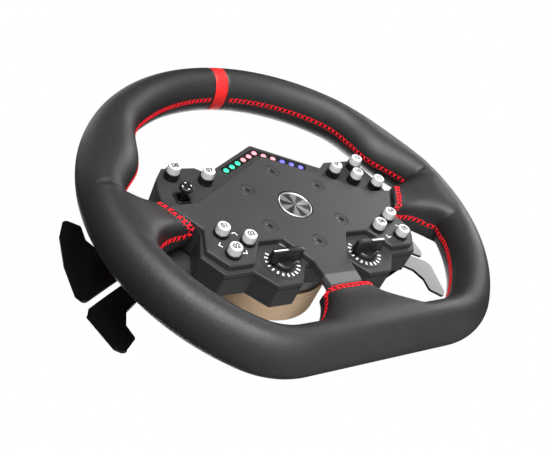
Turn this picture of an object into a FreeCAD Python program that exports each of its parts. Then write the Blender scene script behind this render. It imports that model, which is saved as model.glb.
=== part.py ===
"""Sim-racing steering wheel: a leather rim on an alloy armature, a button housing with two encoders,
a thumb stick and twelve push buttons, four paddles, and a quick-release hub at the back.

Frame: +X to the driver's right, +Z up, +Y away from the driver, along the wheel's axis.
Origin: the centre of the quick-release socket's mouth. "depth" is the distance behind the faceplate's front.
"""

import math
import os

import FreeCAD
import Part

# ---- overall -------------------------------------------------------------------------------------------
face_to_mouth = 73.6      # faceplate front to the quick-release mouth
rim_radius = 136.0        # centreline of the round part of the grip
rim_half_width = 14.3     # grip, in the plane of the wheel
rim_half_depth = 17.6     # grip, along the axis
rim_depth = 4.1           # grip centreline behind the faceplate front
flat_bottom = 113.9       # centreline of the flat below the axis
corner_radius = 47.6      # centreline radius of the two lower corners
thumb_rise = 10.0         # swelling of each thumb rest
thumb_low = 8.0           # degrees above horizontal where a thumb rest starts
thumb_high = 48.0         # and where it ends
thumb_steps = 9
leather_wall = 1.4

# ---- armature --------------------------------------------------------------------------------------------
plate_wall = 4.6          # faceplate thickness
armature_wall = 6.0
armature_ring = 12.0      # width of the plate ring inside the grip
hub_plate_radius = 42.0
side_arm_top = 6.0
side_arm_bottom = -8.0
foot_arm_half = 10.0
hub_wire_hole = 12.0
armature_gap = 0.5        # housing to armature

# ---- spoke covers ----------------------------------------------------------------------------------------
spoke_front = -1.8
spoke_back = 15.0
spoke_round = 5.0

# ---- housing ---------------------------------------------------------------------------------------------
housing_wall = 2.2
housing_face = 2.4
housing_split = 14.0      # depth of the joint between the two shells
housing_back = 26.0
style_groove = 0.6
board_depth = 16.5
board_wall = 1.6
corner_round = 1.6

# ---- quick release ---------------------------------------------------------------------------------------
hub_inner_radius = 41.0   # inside the housing
hub_radius = 42.4         # behind the housing
hub_shoulder = 45.5       # depth of the shoulder under the collar
neck_radius = 28.0
socket_radius = 21.0
socket_length = 24.0
key_width = 6.0
key_depth = 2.0
contact_flange = 15.0     # radius of the contact block's flange
contact_flange_wall = 1.0
contact_sink = 0.2        # contact face below the socket's floor
collar_radius = 44.6
collar_front = 44.0
collar_back_gap = 1.0
collar_web = 7.0
running_gap = 0.06
telescope_gap = 0.4
ball_radius = 3.4
ball_count = 6
spring_wire = 1.1
spring_turns = 4.0

# ---- screws and badge ------------------------------------------------------------------------------------
bolt_circle = 70.0
bolt_head_radius = 5.5
bolt_shank_radius = 2.5
bolt_hex = 3.0
bolt_length = 24.0
screw_slack = 0.12
badge_recess_radius = 13.75
badge_ring_radius = 12.7
badge_disc_radius = 11.2
badge_recess = 1.4

# ---- rev lights ------------------------------------------------------------------------------------------
light_count = 11
light_top = 60.4
light_step_x = 6.54
light_step_z = 3.48
light_radius = 2.4
channel_half = 3.5
channel_reach = 36.2
channel_recess = 0.6
channel_wall = 1.2

# ---- push buttons ----------------------------------------------------------------------------------------
button_travel = 1.2
cap_base_radius = 4.4
cap_top_radius = 4.2
cap_height = 5.2
collar_bore_gap = 0.08
button_collar_radius = 5.4
button_collar_root = 4.95
button_collar_hole = 5.0
upper_collar_top = -1.0
lower_collar_top = -2.7
flange_radius = 4.9
flange_wall = 1.0
plunger_radius = 1.2
switch_side = 6.0
switch_body = 3.5
switch_nib = 1.0
switch_nib_radius = 1.6
button_slack = 0.1

# ---- thumb stick -----------------------------------------------------------------------------------------
stick_x = -79.4
stick_z = 17.6
stick_pivot = 11.0
stick_radius = 1.9
stick_cap_radius = 4.9
stick_cap_front = -6.5
stick_cap_back = -3.4
stick_tilt_gap = 4.5      # radius of the opening the stem tilts in
stick_box = 7.6
yoke_outer = 4.6
yoke_inner = 3.3
yoke_half = 1.3
pin_radius = 0.7
pin_gap = 0.06
stick_ring_radius = 7.2

# ---- encoders --------------------------------------------------------------------------------------------
knob_x = 34.8
knob_z = -46.2
knob_skirt_radius = 8.5
knob_skirt_front = 0.9
knob_gap = 0.4
knob_bar_length = 24.0
knob_bar_width = 5.6
knob_front = -7.4
dial_radius = 14.3
dial_wall = 0.3
shaft_radius = 3.0
shaft_gap = 0.07
bush_radius = 3.6
encoder_half_x = 6.2
encoder_half_z = 6.6
encoder_front = 10.0
nut_radius = 5.2
nut_wall = 1.8

# ---- paddles ---------------------------------------------------------------------------------------------
paddle_pivot_x = 60.0
paddle_pivot_depth = 49.0
paddle_pin_radius = 1.5
paddle_barrel_radius = 4.0
paddle_root_depth = 51.0  # blade's front face at the pivot
paddle_tip_depth = 56.0   # and at its outer edge
paddle_reach = 150.0
paddle_bow = 5.0          # how far the blade bows forward between the two
paddle_wall = 2.2
ear_wall = 3.0
ear_half = 1.2            # half the middle ear
ear_slack = 0.3
ear_height = 15.0
bracket_front = 26.2
bracket_wall = 3.0
bracket_inner = 48.0
bracket_outer = 97.0
bracket_top = 18.0
bracket_foot = 26.0
magnet_radius = 2.4
magnet_wall = 2.6

BOLT_ANGLES = [90 + 60 * k for k in range(6)]
UPPER_RIGHT = [(55.6, 32.5), (70.6, 24.0), (85.7, 15.5), (79.2, 38.8)]
UPPER_LEFT = [(-55.5, 32.0), (-79.0, 38.0)]
POD_CENTRE = (65.4, -30.0)
POD_RADIUS = 10.3

# Half outlines, from the top of the wheel's centreline round the right-hand side to its foot.
PLATE_HALF = [(0, 51.5), (74, 8.5), (95, 8), (80, -15.5), (86.5, -33), (76.5, -47.5), (58, -47.5),
              (46, -30), (27, -30), (14.5, -51), (13, -73)]
HOUSING_HALF = [(0, 68.6), (42, 44.8), (49.5, 40.8), (57, 46.8), (82, 47.5), (90, 37.5), (93, 27), (95.5, 13.5),
                (94.5, 8.5), (80.5, -14.5), (89.5, -34), (79.5, -50.5), (58.5, -50.5), (47, -65), (28.5, -65),
                (17.5, -50)]
SIDE_COVER = [(100, 11.5), (121, 23), (134, 26), (136, -42), (117, -33), (110, -20), (100, -12), (87, -11.5)]
FOOT_COVER_HALF = [(18, -75), (24, -86), (35, -97.5), (44, -112)]
UPPER_BLADE = [(58, 14.2), (72, 14.2), (104, 15.5), (124, 22.5), (129, 33), (128, 46), (137.5, 55), (144, 41.5), (149, 16),
               (150, -10), (146.5, -17), (134, -11), (118, -3.2), (72, 1.6), (58, 1.6)]
LOWER_BLADE = [(58, -14.2), (72, -14.2), (100, -19.5), (114, -23.8), (124.5, -31), (128.3, -41), (126.2, -52), (136, -60),
               (141, -55), (148.5, -27), (146, -22.5), (132, -15.5), (117, -8.2), (72, -1.6), (58, -1.6)]


# ---- drawing helpers -------------------------------------------------------------------------------------
def vec(x, y, z):
    return FreeCAD.Vector(x, y, z)


def along(depth):
    """Y of a depth behind the faceplate's front."""
    return depth - face_to_mouth


def whole(half):
    """A closed outline from its right-hand half."""
    left = [(-x, z) for x, z in reversed(half) if x > 0]
    return half + left


def flipped(points):
    return [(-x, z) for x, z in points]


def inset(points, amount):
    """The outline moved inwards by an amount, edge by edge; a negative amount moves it outwards."""
    area = 0.0
    for (x0, z0), (x1, z1) in zip(points, points[1:] + points[:1]):
        area += x0 * z1 - x1 * z0
    side = 1.0 if area > 0 else -1.0
    moved = []
    count = len(points)
    for i in range(count):
        before, here, after = points[i - 1], points[i], points[(i + 1) % count]
        first = (here[0] - before[0], here[1] - before[1])
        second = (after[0] - here[0], after[1] - here[1])
        n0 = math.hypot(*first)
        n1 = math.hypot(*second)
        normal0 = (-side * first[1] / n0, side * first[0] / n0)
        normal1 = (-side * second[1] / n1, side * second[0] / n1)
        scale = amount / (1.0 + normal0[0] * normal1[0] + normal0[1] * normal1[1])
        moved.append((here[0] + scale * (normal0[0] + normal1[0]), here[1] + scale * (normal0[1] + normal1[1])))
    return moved


def rounded_face(points, radius, y):
    """A flat face facing along Y, with its corners rounded as far as their edges allow."""
    count = len(points)
    starts = []
    arcs = []
    for i in range(count):
        corner = vec(points[i][0], y, points[i][1])
        back = vec(points[i - 1][0], y, points[i - 1][1]) - corner
        ahead = vec(points[(i + 1) % count][0], y, points[(i + 1) % count][1]) - corner
        half_angle = back.getAngle(ahead) / 2
        room = 0.45 * min(back.Length, ahead.Length)
        reach = min(radius / math.tan(half_angle), room) if radius else 0
        bend = reach * math.tan(half_angle)
        back.normalize()
        ahead.normalize()
        start = corner + back * reach
        end = corner + ahead * reach
        starts.append((start, end))
        middle_way = back + ahead
        middle_way.normalize()
        middle = corner + middle_way * (bend / math.sin(half_angle) - bend)
        arcs.append(Part.Arc(start, middle, end).toShape() if reach > 0 else None)
    edges = []
    for i in range(count):
        if arcs[i]:
            edges.append(arcs[i])
        here = starts[i][1]
        onward = starts[(i + 1) % count][0]
        edges.append(Part.LineSegment(here, onward).toShape())
    return Part.Face(Part.Wire(edges))


def slab(points, front, back, radius=0.0):
    """A flat plate of an outline between two depths."""
    face = rounded_face(points, radius, along(front))
    return face.extrude(vec(0, back - front, 0))


def disc(x, z, radius, front, back):
    return Part.makeCylinder(radius, back - front, vec(x, along(front), z), vec(0, 1, 0))


def taper(x, z, radius_front, radius_back, front, back):
    return Part.makeCone(radius_front, radius_back, back - front, vec(x, along(front), z), vec(0, 1, 0))


def tube(x, z, outer, inner, front, back):
    return disc(x, z, outer, front, back).cut(disc(x, z, inner, front - 1, back + 1))


def block(x0, x1, z0, z1, front, back):
    return Part.makeBox(x1 - x0, back - front, z1 - z0, vec(x0, along(front), z0))


def hexagon(x, z, radius, front, back):
    corners = []
    for k in range(6):
        angle = math.radians(60 * k)
        corners.append((x + radius * math.cos(angle), z + radius * math.sin(angle)))
    return slab(corners, front, back)


def mirrored(shape):
    return shape.mirror(vec(0, 0, 0), vec(1, 0, 0))


def joined(shapes):
    return shapes[0].multiFuse(shapes[1:]).removeSplitter() if len(shapes) > 1 else shapes[0]


def save(node, shape):
    os.makedirs("parts", exist_ok=True)
    shape.exportStep("parts/" + node + ".step")


# ---- positions shared by several pieces ----------------------------------------------------------------------
def corner_centre():
    """Centre of the lower right corner's arc."""
    z = corner_radius - flat_bottom
    x = math.sqrt((rim_radius - corner_radius) ** 2 - z ** 2)
    return x, z


def bolt_places():
    radius = bolt_circle / 2
    return [(radius * math.cos(math.radians(a)), radius * math.sin(math.radians(a))) for a in BOLT_ANGLES]


def light_places():
    middle = light_count // 2
    return [((k - middle) * light_step_x, light_top - abs(k - middle) * light_step_z) for k in range(light_count)]


def pod_places():
    places = []
    for angle in (120, 240, 0):
        x = -POD_CENTRE[0] + POD_RADIUS * math.cos(math.radians(angle))
        z = POD_CENTRE[1] + POD_RADIUS * math.sin(math.radians(angle))
        places.append((x, z))
    return places


def buttons():
    """Every push button: node, x, z, the surface its collar stands on, and its collar's top."""
    found = []
    for k, (x, z) in enumerate(UPPER_LEFT):
        found.append((f"button_upper_left_{k + 1}", x, z, plate_wall, upper_collar_top))
    for k, (x, z) in enumerate(UPPER_RIGHT):
        found.append((f"button_upper_right_{k + 1}", x, z, plate_wall, upper_collar_top))
    for k, (x, z) in enumerate(pod_places()):
        found.append((f"button_lower_left_{k + 1}", x, z, 0.0, lower_collar_top))
        found.append((f"button_lower_right_{k + 1}", -x, z, 0.0, lower_collar_top))
    return found


def knob_places():
    return [("left", -knob_x, knob_z), ("right", knob_x, knob_z)]


# ---- rim ---------------------------------------------------------------------------------------------------
def grip_section(angle, shrink, rise=0.0, centre=(0.0, 0.0), radius=rim_radius):
    """Oval wire of the grip, square to the centreline at an angle above +X, swollen inwards by rise."""
    oval = Part.Wire(Part.Circle(vec(0, 0, 0), vec(0, 0, 1), 1.0).toShape())
    stretch = FreeCAD.Matrix()
    stretch.scale(vec(rim_half_width - shrink + rise / 2, rim_half_depth - shrink, 1.0))
    oval = oval.transformGeometry(stretch)
    oval.translate(vec(radius - rise / 2, 0, 0))
    oval.rotate(vec(0, 0, 0), vec(0, 1, 0), -angle)
    oval.translate(vec(centre[0], along(rim_depth), centre[1]))
    return oval


def swept(angle, turn, shrink, centre=(0.0, 0.0), radius=rim_radius):
    """A stretch of grip of constant section, turned clockwise from an angle."""
    face = Part.Face(grip_section(angle, shrink, 0.0, centre, radius))
    return face.revolve(vec(centre[0], 0, centre[1]), vec(0, 1, 0), turn)


def grip(shrink):
    """The whole D-shaped grip with its thumb rests."""
    x, z = corner_centre()
    corner_angle = math.degrees(math.atan2(z, x))
    thumb = []
    for k in range(thumb_steps):
        share = k / (thumb_steps - 1)
        angle = thumb_high + (thumb_low - thumb_high) * share
        thumb.append(grip_section(angle, shrink, thumb_rise * math.sin(math.pi * share) ** 2))
    straight = Part.Face(grip_section(-90, shrink, 0.0, (x, z), corner_radius)).extrude(vec(-x, 0, 0))
    half = [
        swept(90, 90 - thumb_high, shrink),
        Part.makeLoft(thumb, True, False),
        swept(thumb_low, thumb_low - corner_angle, shrink),
        swept(corner_angle, corner_angle + 90, shrink, (x, z), corner_radius),
        straight,
    ]
    return half[0].multiFuse(half[1:] + [mirrored(piece) for piece in half])


def spoke_covers(shrink):
    """The three padded spoke ends, without the grip."""
    covers = []
    for points in (SIDE_COVER, flipped(SIDE_COVER), whole(FOOT_COVER_HALF)):
        pad = slab(inset(points, shrink), spoke_front + shrink, spoke_back - shrink, spoke_round)
        edges = [e for e in pad.Edges if abs(e.tangentAt(e.FirstParameter).y) < 0.5]
        covers.append(pad.makeFillet(spoke_round - shrink, edges))
    return covers


def d_plate(offset, front, back):
    """A flat D whose edge runs beside the grip's centreline."""
    x, z = corner_centre()
    y = along(front)
    radius = rim_radius + offset
    bend = corner_radius + offset
    start = math.atan2(z, x)
    tangent = vec(radius * math.cos(start), y, radius * math.sin(start))
    foot = vec(x, y, -flat_bottom - offset)
    middle_angle = (start - math.pi / 2) / 2
    edges = [
        Part.Arc(vec(-tangent.x, y, tangent.z), vec(0, y, radius), tangent).toShape(),
        Part.Arc(tangent, vec(x + bend * math.cos(middle_angle), y, z + bend * math.sin(middle_angle)),
                 foot).toShape(),
        Part.LineSegment(foot, vec(-foot.x, y, foot.z)).toShape(),
        Part.Arc(vec(-foot.x, y, foot.z), vec(-x - bend * math.cos(middle_angle), y,
                 z + bend * math.sin(middle_angle)), vec(-tangent.x, y, tangent.z)).toShape(),
    ]
    return Part.Face(Part.Wire(edges)).extrude(vec(0, back - front, 0))


def armature_plan(gap, front, back):
    """The armature's hub disc and three arms, grown by a gap."""
    arm = block(0, rim_radius, side_arm_bottom - gap, side_arm_top + gap, front, back)
    foot = block(-foot_arm_half - gap, foot_arm_half + gap, -flat_bottom, 0, front, back)
    return joined([disc(0, 0, hub_plate_radius + gap, front, back), arm, mirrored(arm), foot])


def make_armature():
    front = plate_wall
    back = plate_wall + armature_wall
    ring = d_plate(armature_ring / 2, front, back).cut(d_plate(-armature_ring / 2, front - 1, back + 1))
    body = joined([ring, armature_plan(0.0, front, back)])
    body = body.cut(disc(0, 0, hub_wire_hole, front - 1, back + 1))
    for x, z in bolt_places():
        body = body.cut(disc(x, z, bolt_shank_radius + screw_slack, front - 1, back + 1))
    return body


def make_rim():
    """The armature, its foam, the leather round it and the centre band."""
    armature = make_armature()
    outer = joined([grip(0.0)] + spoke_covers(0.0))
    core = joined([grip(leather_wall)] + spoke_covers(leather_wall))
    band_half = 5.4
    slot = block(-band_half, band_half, rim_radius - 2 * rim_half_width, rim_radius + 2 * rim_half_width,
                 rim_depth - 2 * rim_half_depth, rim_depth + 2 * rim_half_depth)
    skin = outer.cut(core).cut(armature)
    save("rim_armature", armature)
    save("rim_foam", core.cut(armature))
    save("rim_leather", skin.cut(slot))
    save("centre_band", skin.common(slot))


# ---- faceplate, badge and screws ---------------------------------------------------------------------------
def make_faceplate():
    plate = slab(whole(PLATE_HALF), 0, plate_wall, corner_round)
    rim_edges = [e for e in plate.Edges if e.BoundBox.YMax < along(0) + 0.01]
    plate = plate.makeChamfer(0.8, rim_edges)
    plate = plate.cut(disc(0, 0, badge_recess_radius, -1, badge_recess))
    head_depth = 2.6
    heads = []
    for x, z in bolt_places():
        plate = plate.cut(disc(x, z, bolt_head_radius + screw_slack, -1, head_depth))
        plate = plate.cut(disc(x, z, bolt_shank_radius + screw_slack, 0, plate_wall + 1))
        head = disc(x, z, bolt_head_radius, 0.15, head_depth)
        head = head.cut(hexagon(x, z, bolt_hex / math.sqrt(3), 0, 1.9))
        heads.append(joined([head, disc(x, z, bolt_shank_radius, head_depth, bolt_length)]))
    for node, x, z, surface, top in buttons():
        if surface == 0:
            plate = plate.cut(disc(x, z, button_collar_hole, -1, plate_wall + 1))
    save("faceplate", plate)
    save("faceplate_screws", Part.makeCompound(heads))
    bezel = tube(0, 0, badge_ring_radius, badge_disc_radius + 0.05, -0.3, badge_recess)
    round_edges = [e for e in bezel.Edges if e.BoundBox.YMax < along(-0.2)]
    save("badge_ring", bezel.makeChamfer(0.25, round_edges))
    save("badge_disc", disc(0, 0, badge_disc_radius, 0.3, badge_recess))


# ---- housing -----------------------------------------------------------------------------------------------
def channel_outline(half, reach):
    """The chevron band that the rev lights sit in."""
    slope = math.atan2(light_step_z, light_step_x)
    rise = half / math.cos(slope)
    end_z = light_top - reach * math.tan(slope)
    lean_x = half * math.sin(slope)
    lean_z = half * math.cos(slope)
    right = [(0, light_top + rise), (reach + lean_x, end_z + lean_z), (reach - lean_x, end_z - lean_z)]
    return right + [(0, light_top - rise)] + [(-x, z) for x, z in reversed(right[1:])]


def housing_openings(shell):
    """Cuts for everything that passes through the housing's face."""
    back = plate_wall + housing_face + 1
    for node, x, z, surface, top in buttons():
        shell = shell.cut(disc(x, z, button_collar_hole, plate_wall - 1, back))
    for side, x, z in knob_places():
        shell = shell.cut(disc(x, z, bush_radius + screw_slack, plate_wall - 1, back))
    shell = shell.cut(disc(stick_x, stick_z, stick_tilt_gap, plate_wall - 1, back))
    floor = plate_wall + channel_recess + channel_wall
    shell = shell.cut(slab(channel_outline(channel_half, channel_reach), plate_wall - 1, floor, 2.0))
    for x, z in light_places():
        shell = shell.cut(disc(x, z, light_radius + 0.05, plate_wall, back))
    return shell


def make_front_housing():
    outline = whole(HOUSING_HALF)
    shell = slab(outline, plate_wall, housing_split, corner_round)
    front_edges = [e for e in shell.Edges if e.BoundBox.YMax < along(plate_wall) + 0.01]
    shell = shell.makeChamfer(0.7, front_edges)
    hollow = slab(inset(outline, housing_wall), plate_wall + housing_face, housing_split + 1, corner_round)
    groove = slab(inset(outline, -2.0), 8.4, 9.2, corner_round)
    groove = groove.cut(slab(inset(outline, style_groove), 8.0, 9.6, corner_round))
    shell = shell.cut(hollow).cut(groove)
    shell = shell.cut(armature_plan(armature_gap, plate_wall - 1, plate_wall + armature_wall + armature_gap))
    save("front_housing", housing_openings(shell))


def rear_screw_places():
    return [(x, z) for x, z in whole([(62.0, 38.0), (84.0, 26.0), (74.0, -44.0), (44.0, -58.0)])]


def make_rear_cover():
    outline = whole(HOUSING_HALF)
    shell = slab(outline, housing_split, housing_back, corner_round)
    back_edges = [e for e in shell.Edges if e.BoundBox.YMin > along(housing_back) - 0.01]
    shell = shell.makeChamfer(1.2, back_edges)
    shell = shell.cut(slab(inset(outline, housing_wall), housing_split - 1, housing_back - housing_wall, corner_round))
    shell = shell.cut(disc(0, 0, hub_inner_radius + armature_gap, housing_split - 1, housing_back + 1))
    screws = []
    for x, z in rear_screw_places():
        post = disc(x, z, 3.4, board_depth + board_wall, housing_back - housing_wall)
        shell = shell.fuse(post).cut(disc(x, z, 3.0 + screw_slack, housing_back - 1.8, housing_back + 1))
        shell = shell.cut(disc(x, z, 1.5 + screw_slack, housing_split, housing_back))
        head = disc(x, z, 3.0, housing_back - 1.8, housing_back - 0.1)
        head = head.cut(hexagon(x, z, 1.15, housing_back - 1.2, housing_back + 1))
        screws.append(joined([head, disc(x, z, 1.5, board_depth + 2, housing_back - 1.8)]))
    save("rear_cover", shell)
    save("rear_cover_screws", Part.makeCompound(screws))


def make_electronics():
    """The main board with its switches, and the light bar with its lenses and board."""
    board = slab(inset(whole(HOUSING_HALF), housing_wall + 0.6), board_depth, board_depth + board_wall, corner_round)
    board = board.cut(disc(0, 0, hub_inner_radius + 1.0, board_depth - 1, board_depth + 3))
    for x, z in rear_screw_places():
        board = board.cut(disc(x, z, 1.5 + screw_slack, board_depth - 1, board_depth + 3))
    save("main_board", board)
    switches = []
    half = switch_side / 2
    for node, x, z, surface, top in buttons():
        front = board_depth - switch_body
        body = block(x - half, x + half, z - half, z + half, front, board_depth)
        switches.append(joined([body, disc(x, z, switch_nib_radius, front - switch_nib, front)]))
    save("button_switches", Part.makeCompound(switches))

    front = plate_wall + channel_recess
    bar = slab(inset(channel_outline(channel_half, channel_reach), 0.05), front, front + channel_wall, 2.0)
    for x, z in light_places():
        bar = bar.cut(disc(x, z, light_radius + 0.02, front - 1, front + channel_wall + 1))
    save("light_bar", bar)
    lens_back = plate_wall + housing_face + 1.2
    lenses = [disc(x, z, light_radius, front - 0.3, lens_back) for x, z in light_places()]
    save("lenses_green", Part.makeCompound(lenses[:3]))
    save("lenses_red", Part.makeCompound(lenses[3:8]))
    save("lenses_blue", Part.makeCompound(lenses[8:]))
    chips = [block(x - 1.5, x + 1.5, z - 1.5, z + 1.5, lens_back, lens_back + 0.8) for x, z in light_places()]
    strip = slab(channel_outline(channel_half - 0.3, channel_reach - 1.0), lens_back + 0.8, lens_back + 2.0, 1.0)
    save("light_board", Part.makeCompound(chips + [strip]))


# ---- push buttons ------------------------------------------------------------------------------------------
def make_buttons():
    """One sliding cap to each button, and the fixed collars that guide them."""
    root_end = plate_wall + housing_face
    flange_front = root_end + button_slack
    nib_top = board_depth - switch_body - switch_nib
    plunger_end = nib_top - button_travel - button_slack
    bore = cap_base_radius + collar_bore_gap
    collars = []
    for node, x, z, surface, top in buttons():
        crown = disc(x, z, button_collar_radius, top, surface)
        crown = crown.makeChamfer(0.35, [e for e in crown.Edges if e.BoundBox.YMax < along(top) + 0.01])
        sleeve = joined([crown, disc(x, z, button_collar_root, surface, root_end)])
        collars.append(sleeve.cut(disc(x, z, bore, top - 1, root_end + 1)))
        dome = taper(x, z, cap_top_radius, cap_base_radius, top - cap_height, top)
        dome = dome.makeFillet(0.7, [e for e in dome.Edges if e.BoundBox.YMax < along(top - cap_height) + 0.01])
        cap = [
            dome,
            disc(x, z, cap_base_radius, top, flange_front),
            disc(x, z, flange_radius, flange_front, flange_front + flange_wall),
            disc(x, z, plunger_radius, flange_front + flange_wall, plunger_end),
        ]
        save(node, joined(cap))
    save("button_collars", Part.makeCompound(collars))


# ---- thumb stick -------------------------------------------------------------------------------------------
def pin_along(x_way, radius, half_length):
    """A pin through the thumb stick's pivot, across X or along Z."""
    way = vec(1, 0, 0) if x_way else vec(0, 0, 1)
    start = vec(stick_x, along(stick_pivot), stick_z) - way * half_length
    return Part.makeCylinder(radius, 2 * half_length, start, way)


def make_thumb_stick():
    """Fixed case and ring, a yoke that tilts about X in the case, and a stick that tilts about Z in the yoke."""
    case_front = plate_wall + housing_face
    case_back = board_depth - 0.4
    case = block(stick_x - stick_box, stick_x + stick_box, stick_z - stick_box, stick_z + stick_box,
                 case_front, case_back)
    case = case.cut(disc(stick_x, stick_z, yoke_outer + 0.7, case_front - 1, case_back - 1.2))
    case = case.cut(pin_along(True, pin_radius + pin_gap, stick_box - 1.0))
    save("stick_case", case)
    ring = tube(stick_x, stick_z, stick_ring_radius, stick_tilt_gap + 0.4, plate_wall - 1.4, plate_wall)
    outer_edges = [e for e in ring.Edges if e.BoundBox.YMax < along(plate_wall - 1.3) and e.BoundBox.XLength > 12]
    save("stick_ring", ring.makeChamfer(0.9, outer_edges))
    yoke = tube(stick_x, stick_z, yoke_outer, yoke_inner, stick_pivot - yoke_half, stick_pivot + yoke_half)
    trunnions = pin_along(True, pin_radius, stick_box - 1.2)
    trunnions = trunnions.cut(disc(stick_x, stick_z, yoke_inner, stick_pivot - 3, stick_pivot + 3))
    yoke = joined([yoke, trunnions])
    save("stick_yoke", yoke.cut(pin_along(False, pin_radius + pin_gap, yoke_outer + 1)))
    stem = disc(stick_x, stick_z, stick_radius, stick_cap_back, stick_pivot + yoke_half)
    save("stick_stem", joined([stem, pin_along(False, pin_radius, yoke_outer - 0.2)]))
    cap = disc(stick_x, stick_z, stick_cap_radius, stick_cap_front, stick_cap_back)
    save("stick_cap", cap.makeFillet(0.8, [e for e in cap.Edges if e.BoundBox.YMax < along(stick_cap_front) + 0.01]))


# ---- encoders ----------------------------------------------------------------------------------------------
def make_encoders():
    """Each encoder's dial, nut, body, shaft and pointer knob; the left pointer aims left, the right one right."""
    dials = []
    nuts = []
    bodies = []
    for side, x, z in knob_places():
        way = -1 if side == "left" else 1
        dial_front = plate_wall - dial_wall
        dials.append(tube(x, z, dial_radius, bush_radius + screw_slack, dial_front, plate_wall))
        nut = hexagon(x, z, nut_radius, dial_front - nut_wall, dial_front)
        nuts.append(nut.cut(disc(x, z, bush_radius + 0.02, dial_front - 5, dial_front + 1)))
        body = block(x - encoder_half_x, x + encoder_half_x, z - encoder_half_z, z + encoder_half_z,
                     encoder_front, board_depth)
        bush = disc(x, z, bush_radius, dial_front - nut_wall - 0.4, encoder_front)
        bore = disc(x, z, shaft_radius + shaft_gap, 0, encoder_front + 4.2)
        bodies.append(joined([body, bush]).cut(bore))
        save(f"encoder_shaft_{side}", disc(x, z, shaft_radius, knob_front + 2.4, encoder_front + 4))
        skirt_back = dial_front - knob_gap
        skirt = taper(x, z, knob_skirt_radius - 0.6, knob_skirt_radius, knob_skirt_front, skirt_back)
        half = knob_bar_width / 2
        reach = knob_bar_length / 2
        bar = slab([(x - reach, z - half), (x + reach, z - half), (x + reach, z + half), (x - reach, z + half)],
                   knob_front, knob_skirt_front + 0.5, 1.8)
        bar = bar.makeFillet(0.8, [e for e in bar.Edges if e.BoundBox.YMax < along(knob_front) + 0.01])
        bar.rotate(vec(x, 0, z), vec(0, 1, 0), 0 if way > 0 else 180)
        knob = joined([skirt, bar])
        knob = knob.cut(disc(x, z, shaft_radius + 0.02, knob_front + 2.4, skirt_back + 1))
        knob = knob.cut(disc(x, z, nut_radius + 0.8, dial_front - nut_wall - 0.8, skirt_back + 1))
        line_start = x + way * 0.8
        line_end = x + way * (reach - 0.6)
        inlay = block(min(line_start, line_end), max(line_start, line_end), z - 0.5, z + 0.5,
                      knob_front - 0.05, knob_front + 0.4)
        save(f"knob_{side}", knob.cut(inlay))
        save(f"knob_line_{side}", inlay)
    save("dial_plates", Part.makeCompound(dials))
    save("encoder_nuts", Part.makeCompound(nuts))
    save("encoder_bodies", Part.makeCompound(bodies))


# ---- quick release -----------------------------------------------------------------------------------------
def hub_profile():
    """Outer steps of the hub, turned about the axis."""
    inside = plate_wall + armature_wall
    return [
        disc(0, 0, hub_inner_radius, inside, housing_back),
        disc(0, 0, hub_radius, housing_back, hub_shoulder),
        disc(0, 0, neck_radius, hub_shoulder, face_to_mouth),
    ]


def ball_places():
    centre = neck_radius - ball_radius - 0.1
    places = []
    for k in range(ball_count):
        angle = math.radians(60 * k + 30)
        places.append((math.cos(angle), math.sin(angle), centre))
    return places


def make_quick_release():
    hub = joined(hub_profile())
    hub = hub.cut(disc(0, 0, socket_radius, face_to_mouth - socket_length, face_to_mouth + 1))
    hub = hub.cut(disc(0, 0, hub_wire_hole, 0, face_to_mouth))
    socket_floor = face_to_mouth - socket_length
    contact_face = socket_floor - contact_sink
    flange_seat = contact_face - contact_flange_wall
    hub = hub.cut(disc(0, 0, contact_flange + 0.05, flange_seat, socket_floor + 1))
    key = block(-key_width / 2, key_width / 2, 0, socket_radius + key_depth,
                face_to_mouth - socket_length, face_to_mouth + 1)
    hub = hub.cut(key)
    web_depth = face_to_mouth - collar_back_gap - collar_web / 2
    balls = []
    for ux, uz, centre in ball_places():
        middle = vec(ux * centre, along(web_depth), uz * centre)
        start = vec(ux * (socket_radius - 2), along(web_depth), uz * (socket_radius - 2))
        hub = hub.cut(Part.makeCylinder(ball_radius + 0.05, 12, start, vec(ux, 0, uz)))
        balls.append(Part.makeSphere(ball_radius, middle))
    for x, z in bolt_places():
        hub = hub.cut(disc(x, z, bolt_shank_radius + 0.02, 0, bolt_length + 1))
    save("release_hub", hub)
    save("locking_balls", Part.makeCompound(balls))

    back = face_to_mouth - collar_back_gap
    sleeve = disc(0, 0, collar_radius, collar_front, back)
    sleeve = sleeve.makeChamfer(0.8, [sleeve.Edges[0], sleeve.Edges[2]])
    sleeve = sleeve.cut(disc(0, 0, hub_radius + telescope_gap, collar_front - 1, back - collar_web))
    sleeve = sleeve.cut(disc(0, 0, neck_radius + running_gap, collar_front, back + 1))
    save("release_collar", sleeve)

    mean = (neck_radius + hub_radius) / 2
    length = back - collar_web - hub_shoulder - 2 * spring_wire - 0.2
    helix = Part.makeHelix(length / spring_turns, length, mean)
    circle = Part.Wire(Part.makeCircle(spring_wire, vec(mean, 0, 0), vec(0, 1, 0)))
    spring = Part.Wire(helix.Edges).makePipeShell([circle], True, True)
    spring.rotate(vec(0, 0, 0), vec(1, 0, 0), -90)
    spring.translate(vec(0, along(hub_shoulder + spring_wire + 0.1), 0))
    save("collar_spring", spring)

    block_shape = joined([disc(0, 0, hub_wire_hole - 0.05, flange_seat - 12, flange_seat),
                          disc(0, 0, contact_flange, flange_seat, contact_face)])
    pins = []
    for k in range(6):
        angle = math.radians(60 * k)
        x = 7.0 * math.cos(angle)
        z = 7.0 * math.sin(angle)
        block_shape = block_shape.cut(disc(x, z, 1.0, contact_face - 4, socket_floor))
        pins.append(disc(x, z, 0.98, contact_face - 4, contact_face))
    save("contact_block", block_shape)
    save("contact_pins", Part.makeCompound(pins))


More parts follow.
